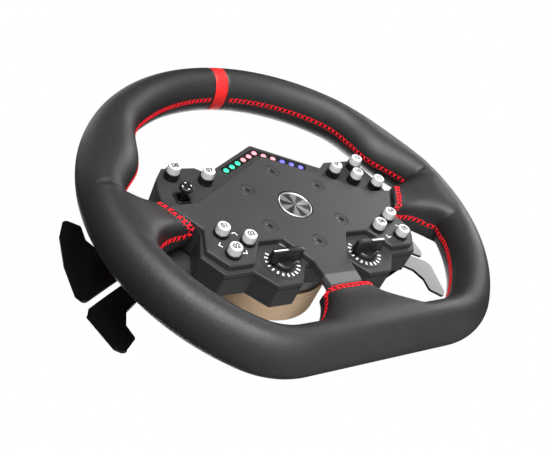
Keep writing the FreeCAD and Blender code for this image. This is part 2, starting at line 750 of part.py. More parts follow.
# ---- paddles -----------------------------------------------------------------------------------------------
def blade_slab():
    """A bowed sheet between the pivot and the blade's outer edge, tall enough for both paddles."""
    start_x = paddle_pivot_x - 4
    end_x = paddle_reach + 1
    middle_x = (start_x + end_x) / 2
    middle = (paddle_root_depth + paddle_tip_depth) / 2 - paddle_bow / 2
    height = 160

    def bow(shift):
        points = [(start_x, paddle_root_depth), (middle_x, middle), (end_x, paddle_tip_depth)]
        return [vec(x, along(depth + shift), -height / 2) for x, depth in points]

    near = bow(0.0)
    far = bow(paddle_wall)
    edges = [
        Part.Arc(*near).toShape(),
        Part.LineSegment(near[2], far[2]).toShape(),
        Part.Arc(*far).toShape(),
        Part.LineSegment(far[0], near[0]).toShape(),
    ]
    return Part.Face(Part.Wire(edges)).extrude(vec(0, 0, height))


def pivot_cylinder(radius, z0, z1):
    return Part.makeCylinder(radius, z1 - z0, vec(paddle_pivot_x, along(paddle_pivot_depth), z0), vec(0, 0, 1))


def paddle(outline, low, high):
    """A right-hand paddle: bowed blade, hinge barrel and the tail that meets the magnet."""
    blade = blade_slab().common(slab(outline, paddle_root_depth - 12, paddle_tip_depth + 12, 3.0))
    barrel = pivot_cylinder(paddle_barrel_radius, low, high)
    tail_x = bracket_inner + bracket_wall + 0.6
    tail = block(tail_x, paddle_pivot_x, low + 1.0, high - 1.0, paddle_pivot_depth - 3.2, paddle_pivot_depth - 0.4)
    neck = block(paddle_pivot_x, paddle_pivot_x + 5, low, high, paddle_pivot_depth - 2, paddle_root_depth + 1.2)
    body = joined([blade, barrel, tail, neck])
    return body.cut(pivot_cylinder(paddle_pin_radius + running_gap, low - 1, high + 1))


def bracket():
    """A right-hand paddle bracket: a tray behind the housing with three ears for the hinge pin."""
    outline = [(bracket_inner, bracket_top), (bracket_outer - 12, bracket_top), (bracket_outer, bracket_top - 10),
               (bracket_outer, -bracket_foot + 6), (bracket_outer - 6, -bracket_foot), (bracket_inner, -bracket_foot)]
    deep = paddle_pivot_depth - 6.5
    tray = slab(outline, bracket_front, deep, 2.0)
    tray = tray.cut(slab(inset(outline, bracket_wall), bracket_front + bracket_wall, deep + 1, 1.0))
    ear_x = paddle_pivot_x + 6
    ear_back = paddle_pivot_depth + paddle_pin_radius + 1.6
    ears = []
    for low, high in ((-ear_height - ear_wall, -ear_height), (-ear_half, ear_half), (ear_height, ear_height + ear_wall)):
        ears.append(block(bracket_inner, ear_x, low, high, bracket_front + 1, ear_back))
    ears.append(block(bracket_inner, bracket_inner + bracket_wall, -ear_height, ear_height, deep - 2, ear_back))
    posts = []
    magnet_x = magnet_column()
    for z in magnet_heights():
        posts.append(disc(magnet_x, z, magnet_radius + 1.0, bracket_front + 1, magnet_back() - magnet_wall))
    body = joined([tray] + ears + posts)
    return body.cut(pivot_cylinder(paddle_pin_radius + 0.02, -ear_height - ear_wall - 1, ear_height + ear_wall + 1))


def magnet_column():
    return bracket_inner + bracket_wall + 0.8 + magnet_radius


def magnet_heights():
    middle = (ear_half + ear_height) / 2
    return (middle, -middle)


def magnet_back():
    """The magnets' back faces, just in front of the paddles' tails."""
    return paddle_pivot_depth - 3.2 - ear_slack


def make_paddles():
    low = ear_half + ear_slack
    high = ear_height - ear_slack
    upper = paddle(UPPER_BLADE, low, high)
    lower = paddle(LOWER_BLADE, -high, -low)
    frame = bracket()
    pin = pivot_cylinder(paddle_pin_radius, -ear_height - ear_wall + 0.2, ear_height + ear_wall - 0.2)
    magnets = [disc(magnet_column(), z, magnet_radius, magnet_back() - magnet_wall, magnet_back())
               for z in magnet_heights()]
    nibs = []
    switch_x = paddle_pivot_x + 18
    for z in magnet_heights():
        case = block(switch_x - 6.5, switch_x + 6.5, z - 3.2, z + 3.2, bracket_front + bracket_wall, 39)
        nibs.append(joined([case, disc(switch_x + 3, z, 1.2, 39, 44.5)]))
    save("paddle_upper_right", upper)
    save("paddle_lower_right", lower)
    save("paddle_bracket_right", frame)
    save("paddle_upper_left", mirrored(upper))
    save("paddle_lower_left", mirrored(lower))
    save("paddle_bracket_left", mirrored(frame))
    save("paddle_pins", Part.makeCompound([pin, mirrored(pin)]))
    save("paddle_magnets", Part.makeCompound(magnets + [mirrored(m) for m in magnets]))
    save("paddle_switches", Part.makeCompound(nibs + [mirrored(n) for n in nibs]))


def main():
    make_rim()
    make_faceplate()
    make_front_housing()
    make_rear_cover()
    make_electronics()
    make_buttons()
    make_thumb_stick()
    make_encoders()
    make_quick_release()
    make_paddles()


main()
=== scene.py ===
"""Looks of a sim-racing wheel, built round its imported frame: leather, thread, metal, plastic and studio.

Lengths are in metres in the frame's own axes: X to the driver's right, Z up the wheel, Y away from the
driver.
"""
import logging
import math
from dataclasses import dataclass, field
from enum import Enum
from typing import Optional, Sequence, Union

import bmesh
import bpy
import numpy as np
from mathutils import Matrix, Vector
from mathutils.bvhtree import BVHTree


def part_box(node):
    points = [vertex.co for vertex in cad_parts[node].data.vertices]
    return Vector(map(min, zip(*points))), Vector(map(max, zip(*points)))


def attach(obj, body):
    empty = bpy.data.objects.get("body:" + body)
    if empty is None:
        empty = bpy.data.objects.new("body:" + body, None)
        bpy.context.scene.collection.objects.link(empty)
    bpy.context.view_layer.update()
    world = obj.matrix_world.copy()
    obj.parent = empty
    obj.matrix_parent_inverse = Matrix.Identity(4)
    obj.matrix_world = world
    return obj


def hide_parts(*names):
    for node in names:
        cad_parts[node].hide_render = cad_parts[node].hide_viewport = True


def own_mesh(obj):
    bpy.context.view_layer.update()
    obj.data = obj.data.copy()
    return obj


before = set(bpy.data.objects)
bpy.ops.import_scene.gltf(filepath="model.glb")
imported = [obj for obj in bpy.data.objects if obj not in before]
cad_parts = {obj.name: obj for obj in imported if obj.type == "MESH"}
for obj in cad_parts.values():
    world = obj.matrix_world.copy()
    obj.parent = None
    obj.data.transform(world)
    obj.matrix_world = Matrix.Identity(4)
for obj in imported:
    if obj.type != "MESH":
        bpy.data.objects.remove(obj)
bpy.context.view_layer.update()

MM = 0.001
log = logging.getLogger("racing_wheel")

Colour = tuple[float, float, float]
Point = tuple[float, float, float]


class Body(Enum):
    """Bodies of the frame that several pieces ride on."""

    WHEEL = "wheel"
    COLLAR = "release_collar"
    STICK = "thumb_stick"


class Side(Enum):
    """The two halves of the wheel; the value is the sign of X."""

    LEFT = -1
    RIGHT = 1

    @property
    def word(self) -> str:
        """The side's name as the frame's nodes write it."""
        return self.name.lower()


# ---- shader and geometry node helpers --------------------------------------------------------------------
class Bench:
    """A node tree with one way of adding a node to it."""

    def __init__(self, tree: bpy.types.NodeTree) -> None:
        """Takes a tree.

        Args:
            tree: the shader or geometry tree to work in.
        """
        self.tree = tree

    def add(self, kind: str, settings: Optional[dict] = None,
            inputs: Optional[dict] = None) -> bpy.types.Node:
        """Adds one node.

        Args:
            kind: the node's type.
            settings: properties to set first; "ramp" holds a colour ramp's stops.
            inputs: values, Fields or sockets, by input name or index.

        Returns:
            The new node.
        """
        node = self.tree.nodes.new(kind)
        for name, value in (settings or {}).items():
            if name == "ramp":
                fill_ramp(node.color_ramp, value)
            else:
                setattr(node, name, value)
        for name, value in (inputs or {}).items():
            target = node.inputs[name]
            if isinstance(value, Field):
                self.tree.links.new(value.socket, target)
            elif isinstance(value, bpy.types.NodeSocket):
                self.tree.links.new(value, target)
            else:
                target.default_value = value
        return node

    def field(self, node: bpy.types.Node, output: Union[int, str] = 0) -> "Field":
        """One of a node's outputs as a Field."""
        return Field(self, node.outputs[output])

    def place(self) -> bpy.types.NodeSocket:
        """Object coordinates, which are the frame's own."""
        return self.add("ShaderNodeTexCoord").outputs["Object"]

    def noise(self, scale: float, detail: float = 3.0) -> "Field":
        """Fractal noise from 0 to 1.

        Args:
            scale: features a metre.
            detail: how many finer layers it has.

        Returns:
            The noise.
        """
        node = self.add("ShaderNodeTexNoise", None,
                        {"Vector": self.place(), "Scale": scale, "Detail": detail})
        return self.field(node, 0)

    def cells(self, scale: float, where: bpy.types.NodeSocket) -> "Field":
        """Distance to the nearest edge of a cell pattern.

        Args:
            scale: cells a metre.
            where: the coordinates it reads.

        Returns:
            The distance, in cells.
        """
        node = self.add("ShaderNodeTexVoronoi", {"feature": "DISTANCE_TO_EDGE"},
                        {"Vector": where, "Scale": scale})
        return self.field(node, "Distance")

    def mixed(self, low: Union[Colour, bpy.types.NodeSocket], high: Union[Colour, bpy.types.NodeSocket],
              share: "Field") -> bpy.types.NodeSocket:
        """A colour between two.

        Args:
            low: the colour where share is 0.
            high: the colour where share is 1.
            share: how far it is from low to high.

        Returns:
            The mixed colour.
        """
        node = self.add("ShaderNodeMix", {"data_type": "RGBA"})
        for name, value in (("A", low), ("B", high)):
            target = next(s for s in node.inputs if s.name == name and s.type == "RGBA")
            if isinstance(value, bpy.types.NodeSocket):
                self.tree.links.new(value, target)
            else:
                target.default_value = (*value, 1.0)
        self.tree.links.new(share.socket, node.inputs["Factor"])
        return next(s for s in node.outputs if s.type == "RGBA")

    def raised(self, height: "Field", depth: float, strength: float = 1.0) -> bpy.types.NodeSocket:
        """A normal from a height.

        Args:
            height: the height, from 0 to 1.
            depth: how far that is, in metres.
            strength: the bump's strength.

        Returns:
            The normal.
        """
        node = self.add("ShaderNodeBump", None, {"Strength": strength, "Distance": depth, "Height": height})
        return node.outputs["Normal"]


class Field:
    """A number that varies over a surface. Arithmetic on it adds Math nodes."""

    def __init__(self, bench: Bench, socket: bpy.types.NodeSocket) -> None:
        """Takes a socket.

        Args:
            bench: the tree it belongs to.
            socket: the output that carries it.
        """
        self.bench = bench
        self.socket = socket

    def math(self, operation: str, *others: Union["Field", float], first: bool = True) -> "Field":
        """One Math node.

        Args:
            operation: the node's operation.
            others: its other values.
            first: whether this field is the first value, as it isn't in 1 - field.

        Returns:
            The node's result.
        """
        values = [self, *others] if first else [*others, self]
        node = self.bench.add("ShaderNodeMath", {"operation": operation}, dict(enumerate(values)))
        return Field(self.bench, node.outputs[0])

    def __add__(self, other: Union["Field", float]) -> "Field":
        """self + other."""
        return self.math("ADD", other)

    def __radd__(self, other: float) -> "Field":
        """other + self."""
        return self.math("ADD", other)

    def __sub__(self, other: Union["Field", float]) -> "Field":
        """self - other."""
        return self.math("SUBTRACT", other)

    def __rsub__(self, other: float) -> "Field":
        """other - self."""
        return self.math("SUBTRACT", other, first=False)

    def __mul__(self, other: Union["Field", float]) -> "Field":
        """self * other."""
        return self.math("MULTIPLY", other)

    def __rmul__(self, other: float) -> "Field":
        """other * self."""
        return self.math("MULTIPLY", other)

    def __truediv__(self, other: Union["Field", float]) -> "Field":
        """self / other."""
        return self.math("DIVIDE", other)

    def __pow__(self, other: float) -> "Field":
        """self to a power."""
        return self.math("POWER", other)

    def __abs__(self) -> "Field":
        """The size of self."""
        return self.math("ABSOLUTE")

    def step(self, low: float, high: float) -> "Field":
        """A smooth step.

        Args:
            low: 0 below this value.
            high: 1 above this value.

        Returns:
            The step.
        """
        node = self.bench.add("ShaderNodeMapRange", {"interpolation_type": "SMOOTHSTEP"},
                              {"Value": self, "From Min": low, "From Max": high})
        return Field(self.bench, node.outputs["Result"])


def fill_ramp(ramp: bpy.types.ColorRamp, stops: Sequence[tuple[float, Colour]]) -> None:
    """Sets a colour ramp's stops.

    Args:
        ramp: the ramp to fill.
        stops: (position, colour) from left to right.
    """
    while len(ramp.elements) < len(stops):
        ramp.elements.new(1.0)
    for element, (position, colour) in zip(ramp.elements, stops):
        element.position = position
        element.color = (*colour, 1.0)


# ---- finishes --------------------------------------------------------------------------------------------
@dataclass(frozen=True)
class Finish:
    """A surface finish. Fixed numbers go straight on the shader; subclasses add what varies."""

    name: str
    colour: Colour
    roughness: float = 0.5
    metallic: float = 0.0
    coat: float = 0.0
    specular: float = 0.5

    def material(self) -> bpy.types.Material:
        """The finish as a material, made once and shared.

        Returns:
            The material of this name.
        """
        label = "surface_" + self.name
        found = bpy.data.materials.get(label)
        if found:
            return found
        made = bpy.data.materials.new(label)
        made.use_nodes = True
        made.node_tree.nodes.clear()
        bench = Bench(made.node_tree)
        shader = bench.add("ShaderNodeBsdfPrincipled", None, {
            "Base Color": (*self.colour, 1.0), "Roughness": self.roughness, "Metallic": self.metallic,
            "Coat Weight": self.coat, "Specular IOR Level": self.specular})
        output = bench.add("ShaderNodeOutputMaterial")
        bench.tree.links.new(shader.outputs["BSDF"], output.inputs["Surface"])
        self.dress(bench, shader)
        return made

    def dress(self, bench: Bench, shader: bpy.types.Node) -> None:
        """Adds what varies over the surface.

        Args:
            bench: the tree.
            shader: its Principled node.
        """
        grain = bench.noise(900.0)
        bench.tree.links.new((self.roughness - 0.04 + grain * 0.08).socket, shader.inputs["Roughness"])

    def tint(self, factor: float) -> Colour:
        """The colour, lighter or darker by a factor."""
        return tuple(min(1.0, c * factor) for c in self.colour)


@dataclass(frozen=True)
class Leather(Finish):
    """Smooth leather: fine pebbled grain, faint creases and rubbed patches."""

    grain: float = 1150.0
    grain_depth: float = 0.00011
    bend: float = 300.0
    bend_reach: float = 0.0012
    soft: float = 2600.0
    wear: float = 26.0
    rub: float = 0.10

    def dress(self, bench: Bench, shader: bpy.types.Node) -> None:
        """Grain from cells bent by noise.

        Args:
            bench: the tree.
            shader: its Principled node.
        """
        where = bench.place()
        bend = bench.add("ShaderNodeTexNoise", None, {"Vector": where, "Scale": self.bend, "Detail": 2.0})
        reach = (self.bend_reach, self.bend_reach, self.bend_reach)
        shifted = bench.add("ShaderNodeVectorMath", {"operation": "MULTIPLY_ADD"},
                            {0: bend.outputs["Color"], 1: reach, 2: where})
        pebble = bench.cells(self.grain, shifted.outputs[0]).step(0.0, 0.22)
        soft = bench.noise(self.soft, 2.0)
        worn = bench.noise(self.wear, 4.0).step(0.35, 0.72)
        height = pebble * 0.75 + soft * 0.25
        gloss = self.roughness + 0.05 - worn * self.rub - pebble * 0.04
        links = bench.tree.links
        links.new(gloss.socket, shader.inputs["Roughness"])
        dark = bench.mixed(self.tint(0.62), self.colour, pebble)
        links.new(bench.mixed(dark, self.tint(1.45), worn * 0.4), shader.inputs["Base Color"])
        links.new(bench.raised(height, self.grain_depth, 0.55), shader.inputs["Normal"])


@dataclass(frozen=True)
class Moulded(Finish):
    """Moulded plastic with a spark-eroded texture."""

    texture: float = 2400.0
    texture_depth: float = 0.00005
    drift: float = 55.0

    def dress(self, bench: Bench, shader: bpy.types.Node) -> None:
        """Speckle in height, gloss and tone.

        Args:
            bench: the tree.
            shader: its Principled node.
        """
        spark = bench.noise(self.texture, 4.0)
        broad = bench.noise(self.drift, 3.0)
        tone = bench.mixed(self.tint(0.8), self.tint(1.2), spark * 0.6 + broad * 0.4)
        links = bench.tree.links
        links.new((self.roughness - 0.08 + spark * 0.1 + broad * 0.06).socket, shader.inputs["Roughness"])
        links.new(tone, shader.inputs["Base Color"])
        links.new(bench.raised(spark, self.texture_depth, 0.5), shader.inputs["Normal"])


@dataclass(frozen=True)
class Satin(Finish):
    """Bead-blasted and anodised or painted metal."""

    speck: float = 3800.0
    speck_depth: float = 0.00003
    drift: float = 30.0

    def dress(self, bench: Bench, shader: bpy.types.Node) -> None:
        """Tiny blasted specks and a slow drift in gloss.

        Args:
            bench: the tree.
            shader: its Principled node.
        """
        speck = bench.noise(self.speck, 2.0)
        drift = bench.noise(self.drift, 3.0)
        links = bench.tree.links
        links.new((self.roughness - 0.07 + speck * 0.06 + drift * 0.08).socket, shader.inputs["Roughness"])
        links.new(bench.mixed(self.tint(0.86), self.tint(1.14), speck * 0.5 + drift * 0.5),
                  shader.inputs["Base Color"])
        links.new(bench.raised(speck, self.speck_depth, 0.4), shader.inputs["Normal"])


@dataclass(frozen=True)
class FootedSatin(Satin):
    """Satin metal whose foot, below a line, gets a painted highlight: a lighter colour standing in for the
    light its bevelled bottom reflects.
    """

    foot: float = -64.2 * MM
    foot_blur: float = 0.5 * MM
    foot_tone: float = 2.8

    def dress(self, bench: Bench, shader: bpy.types.Node) -> None:
        """Satin, with a painted highlight lightening the foot, by height.

        Args:
            bench: the tree.
            shader: its Principled node.
        """
        super().dress(bench, shader)
        plain = shader.inputs["Base Color"].links[0].from_socket
        parts = bench.add("ShaderNodeSeparateXYZ", None, {"Vector": bench.place()})
        height = bench.field(parts, 2)
        # painted highlight: below the foot line the colour is lightened to stand in for light reflected off
        # the bevelled bottom
        below = 1.0 - height.step(self.foot - self.foot_blur, self.foot + self.foot_blur)
        tone = bench.mixed(plain, self.tint(self.foot_tone), below)
        bench.tree.links.new(tone, shader.inputs["Base Color"])


@dataclass(frozen=True)
class Turned(Finish):
    """Metal turned on a lathe about the wheel's axis, with fine rings."""

    pitch: float = 0.00035
    ring_depth: float = 0.00002
    drift: float = 40.0

    def dress(self, bench: Bench, shader: bpy.types.Node) -> None:
        """Rings from the distance along and across the axis.

        Args:
            bench: the tree.
            shader: its Principled node.
        """
        parts = bench.add("ShaderNodeSeparateXYZ", None, {"Vector": bench.place()})
        x, y, z = (bench.field(parts, k) for k in range(3))
        reach = (x * x + z * z) ** 0.5
        wave = ((reach + y) * (2 * math.pi / self.pitch)).math("SINE")
        drift = bench.noise(self.drift, 3.0)
        links = bench.tree.links
        links.new((self.roughness - 0.05 + drift * 0.1).socket, shader.inputs["Roughness"])
        links.new(bench.mixed(self.tint(0.88), self.tint(1.1), drift), shader.inputs["Base Color"])
        links.new(bench.raised(wave * 0.5 + 0.5, self.ring_depth, 0.5), shader.inputs["Normal"])


@dataclass(frozen=True)
class SpunDisc(Finish):
    """A disc whose painted reflection alternates bright and dark sectors round its centre, standing in for
    the glints of spun metal.
    """

    sectors: int = 6
    turn: float = 0.6
    ring_waves: float = 22000.0
    # colour of the painted dark sectors of the reflection
    dark: Colour = (0.02, 0.02, 0.022)

    def dress(self, bench: Bench, shader: bpy.types.Node) -> None:
        """Painted reflection sectors by angle, with fine rings.

        Args:
            bench: the tree.
            shader: its Principled node.
        """
        parts = bench.add("ShaderNodeSeparateXYZ", None, {"Vector": bench.place()})
        x, z = bench.field(parts, 0), bench.field(parts, 2)
        angle = z.math("ARCTAN2", x)
        # painted reflection: bright and dark sectors in the base colour stand in for the glints of spun metal
        fan = ((angle * float(self.sectors) + self.turn).math("SINE") * 0.5 + 0.5).step(0.15, 0.85)
        reach = (x * x + z * z) ** 0.5
        rings = (reach * self.ring_waves).math("SINE") * 0.5 + 0.5
        links = bench.tree.links
        links.new(bench.mixed(self.dark, self.colour, fan), shader.inputs["Base Color"])
        links.new((self.roughness + rings * 0.1).socket, shader.inputs["Roughness"])


@dataclass(frozen=True)
class Thread(Finish):
    """Twisted polyester thread."""

    ply: float = 5200.0
    ply_depth: float = 0.0001

    def dress(self, bench: Bench, shader: bpy.types.Node) -> None:
        """Bright and dark plies.

        Args:
            bench: the tree.
            shader: its Principled node.
        """
        ply = bench.noise(self.ply, 2.0)
        links = bench.tree.links
        links.new(bench.mixed(self.tint(0.8), self.tint(1.2), ply), shader.inputs["Base Color"])
        links.new(bench.raised(ply, self.ply_depth, 0.6), shader.inputs["Normal"])


@dataclass(frozen=True)
class Lamp(Finish):
    """A lit lens."""

    glow: Colour = (1.0, 1.0, 1.0)
    power: float = 1.0
    milk: float = 1500.0

    def dress(self, bench: Bench, shader: bpy.types.Node) -> None:
        """A steady glow with a milky tone.

        Args:
            bench: the tree.
            shader: its Principled node.
        """
        shader.inputs["Emission Strength"].default_value = self.power
        milk = bench.noise(self.milk, 2.0)
        links = bench.tree.links
        links.new(bench.mixed(self.glow, self.tint(1.0), milk * 0.6), shader.inputs["Emission Color"])
        links.new(bench.mixed(self.tint(0.8), self.tint(1.2), milk), shader.inputs["Base Color"])


LEATHER = Leather("black_leather", (0.013, 0.013, 0.0135), roughness=0.46, specular=0.46)
RED_LEATHER = Leather("red_leather", (0.85, 0.018, 0.018), roughness=0.45, specular=0.3)
THREAD = Thread("red_thread", (1.0, 0.012, 0.024), roughness=0.7, specular=0.15)
PLATE = FootedSatin("faceplate_metal", (0.034, 0.034, 0.034), roughness=0.42, specular=0.30,
                    speck_depth=0.000006)
SCREW = Satin("black_screw", (0.031, 0.031, 0.031), roughness=0.42, specular=0.30,
              speck_depth=0.000006)
CHROME = Satin("bright_ring", (0.86, 0.86, 0.87), roughness=0.30, metallic=1.0)
BADGE = SpunDisc("spun_badge", (0.20, 0.20, 0.205), roughness=0.34, metallic=0.5)
HOUSING = Moulded("housing_plastic", (0.026, 0.026, 0.0265), roughness=0.45, specular=0.35)
BRACKET = Moulded("bracket_plastic", (0.022, 0.022, 0.023), roughness=0.5)
GLOSS_BLACK = Moulded("collar_plastic", (0.006, 0.006, 0.006), roughness=0.26, texture_depth=0.00001)
CAP = Moulded("cap_plastic", (0.60, 0.60, 0.60), roughness=0.34, texture_depth=0.00001)
KNOB = Moulded("knob_plastic", (0.009, 0.009, 0.0095), roughness=0.32, texture_depth=0.00002)
RUBBER = Moulded("black_rubber", (0.004, 0.004, 0.004), roughness=0.6, specular=0.25)
INK = Moulded("white_ink", (0.85, 0.85, 0.85), roughness=0.5, texture_depth=0.00001)
DARK_INK = Moulded("dark_ink", (0.02, 0.02, 0.024), roughness=0.5, texture_depth=0.00001)
SMOKED = Moulded("smoked_strip", (0.010, 0.010, 0.011), roughness=0.22, texture_depth=0.00001)
GREEN = Lamp("green_lens", (0.02, 0.55, 0.26), roughness=0.3, glow=(0.03, 0.75, 0.33), power=0.75)
RED = Lamp("red_lens", (0.75, 0.22, 0.25), roughness=0.3, glow=(0.85, 0.30, 0.33), power=0.75)
BLUE = Lamp("blue_lens", (0.10, 0.09, 0.62), roughness=0.3, glow=(0.14, 0.13, 0.80), power=0.75)
HUB = Turned("hub_metal", (0.17, 0.175, 0.185), roughness=0.36, metallic=0.8)
BRONZE = Turned("bronze_anodised", (0.72, 0.51, 0.33), roughness=0.36, metallic=0.6)
STEEL = Satin("steel", (0.50, 0.50, 0.52), roughness=0.3, metallic=1.0)
GOLD = Satin("gold_contact", (0.85, 0.55, 0.20), roughness=0.25, metallic=1.0)
ALLOY = Satin("cast_alloy", (0.50, 0.50, 0.52), roughness=0.5, metallic=0.9)
FOAM = Moulded("grip_foam", (0.03, 0.03, 0.03), roughness=0.9)
BOARD = Moulded("circuit_board", (0.012, 0.09, 0.04), roughness=0.35)
SWITCH = Moulded("switch_plastic", (0.02, 0.02, 0.02), roughness=0.45)
PADDLE = Satin("paddle_metal", (0.002, 0.002, 0.0021), roughness=0.22, specular=0.40,
                speck_depth=0.000002)
FLOOR = Moulded("studio_floor", (0.82, 0.82, 0.82), roughness=0.9)


# ---- mesh helpers ----------------------------------------------------------------------------------------
def new_piece(name: str, verts: Sequence, faces: Sequence, finish: Finish) -> bpy.types.Object:
    """A linked mesh object.

    Args:
        name: the object's name.
        verts: its points, in metres.
        faces: its faces as point indices.
        finish: what it is made of.

    Returns:
        The object, with normals pointing outwards.
    """
    mesh = bpy.data.meshes.new(name)
    mesh.from_pydata([tuple(v) for v in verts], [], [tuple(f) for f in faces])
    piece = bpy.data.objects.new(name, mesh)
    bpy.context.scene.collection.objects.link(piece)
    mesh.materials.append(finish.material())
    tidy(piece)
    return piece


def tidy(piece: bpy.types.Object, crease: float = 32.0, flip: bool = True) -> None:
    """Merges doubles, turns faces outwards and marks edges sharper than a crease angle, in degrees.

    Args:
        piece: the mesh object.
        crease: angle above which an edge stays sharp.
        flip: whether normals are worked out again.
    """
    shape = bmesh.new()
    shape.from_mesh(piece.data)
    bmesh.ops.remove_doubles(shape, verts=shape.verts, dist=1e-6)
    if flip:
        bmesh.ops.recalc_face_normals(shape, faces=shape.faces)
    for edge in shape.edges:
        edge.smooth = len(edge.link_faces) == 2 and edge.calc_face_angle(0.0) < math.radians(crease)
    for face in shape.faces:
        face.smooth = True
    shape.to_mesh(piece.data)
    shape.free()


def bake_modifiers(piece: bpy.types.Object) -> None:
    """Turns a piece's modifiers into its mesh.

    Args:
        piece: the piece.
    """
    bpy.context.view_layer.update()
    graph = bpy.context.evaluated_depsgraph_get()
    made = bpy.data.meshes.new_from_object(piece.evaluated_get(graph))
    made.name = piece.name
    piece.modifiers.clear()
    piece.data = made


def put(piece: bpy.types.Object, body: Union[Body, str], replaces: Sequence[str] = ()) -> None:
    """Hands a finished piece to the frame.

    Args:
        piece: the piece.
        body: the body it rides on.
        replaces: CAD nodes it stands for.
    """
    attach(piece, body.value if isinstance(body, Body) else body)
    if replaces:
        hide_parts(*replaces)
    log.info("%s: %d faces", piece.name, len(piece.data.polygons))


def lathe(name: str, profile: Sequence[tuple[float, float]], centre: tuple[float, float], finish: Finish,
          segments: int = 64, closed: bool = False) -> bpy.types.Object:
    """A turned piece whose axis runs along Y.

    Args:
        name: the piece's name.
        profile: (radius, y) along its outline.
        centre: x and z of its axis.
        finish: what it is made of.
        segments: steps round the axis.
        closed: whether the profile closes on itself, as on a ring.

    Returns:
        The piece.
    """
    verts = []
    for radius, y in profile:
        for k in range(segments):
            angle = 2 * math.pi * k / segments
            verts.append((centre[0] + radius * math.cos(angle), y, centre[1] + radius * math.sin(angle)))
    faces = []
    rows = len(profile)
    for row in range(rows if closed else rows - 1):
        onward = (row + 1) % rows
        for k in range(segments):
            after = (k + 1) % segments
            faces.append((row * segments + k, row * segments + after, onward * segments + after,
                          onward * segments + k))
    return new_piece(name, verts, faces, finish)


def rounded(profile: Sequence[tuple[float, float, float]], steps: int = 4) -> list[tuple[float, float]]:
    """Rounds the corners of a turned outline.

    Args:
        profile: (radius, y, corner radius) along the outline.
        steps: points to each corner.

    Returns:
        (radius, y) along the rounded outline.
    """
    result = []
    for k, (r, y, bend) in enumerate(profile):
        if bend <= 0 or k in (0, len(profile) - 1):
            result.append((r, y))
            continue
        here = np.array((r, y))
        before = np.array(profile[k - 1][:2]) - here
        after = np.array(profile[k + 1][:2]) - here
        back = min(bend, 0.49 * np.linalg.norm(before), 0.49 * np.linalg.norm(after))
        start = here + before / np.linalg.norm(before) * back
        end = here + after / np.linalg.norm(after) * back
        for step in range(steps + 1):
            t = step / steps
            point = (1 - t) ** 2 * start + 2 * t * (1 - t) * here + t ** 2 * end
            result.append((float(point[0]), float(point[1])))
    return result


def outlined(name: str, points: Sequence[tuple[float, float]], front: float, back: float,
             finish: Finish) -> bpy.types.Object:
    """A flat plate.

    Args:
        name: its name.
        points: x and z along its outline.
        front: y of its front.
        back: y of its back.
        finish: what it is made of.

    Returns:
        The plate.
    """
    count = len(points)
    verts = [(x, front, z) for x, z in points] + [(x, back, z) for x, z in points]
    faces = [tuple(range(count)), tuple(range(2 * count - 1, count - 1, -1))]
    faces += [(k, (k + 1) % count, count + (k + 1) % count, count + k) for k in range(count)]
    return new_piece(name, verts, faces, finish)


def eased_copy(node: str, name: str, finish: Finish, width: float = 0.3 * MM,
               segments: int = 2) -> bpy.types.Object:
    """A copy of a CAD node's shape with its edges eased, for machined and moulded pieces.

    Args:
        node: the CAD node.
        name: the new piece's name.
        finish: what it is made of.
        width: width of the eased edge.
        segments: steps across it.

    Returns:
        The piece, not yet riding on a body.
    """
    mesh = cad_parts[node].data.copy()
    mesh.materials.clear()
    mesh.materials.append(finish.material())
    piece = bpy.data.objects.new(name, mesh)
    bpy.context.scene.collection.objects.link(piece)
    shape = bmesh.new()
    shape.from_mesh(mesh)
    bmesh.ops.remove_doubles(shape, verts=shape.verts, dist=2e-6)
    bmesh.ops.dissolve_limit(shape, angle_limit=math.radians(1.0), verts=shape.verts, edges=shape.edges)
    for face in shape.faces:
        face.material_index = 0
        face.smooth = True
    for edge in shape.edges:
        edge.smooth = True
    shape.to_mesh(mesh)
    shape.free()
    bevel = piece.modifiers.new("ease", "BEVEL")
    bevel.width = width
    bevel.segments = segments
    bevel.limit_method = "ANGLE"
    bevel.angle_limit = math.radians(35)
    even = piece.modifiers.new("even", "WEIGHTED_NORMAL")
    even.weight = 100
    even.keep_sharp = False
    bake_modifiers(piece)
    return piece


def centre_of(node: str) -> Vector:
    """The middle of a CAD node's box."""
    low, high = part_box(node)
    return (low + high) / 2


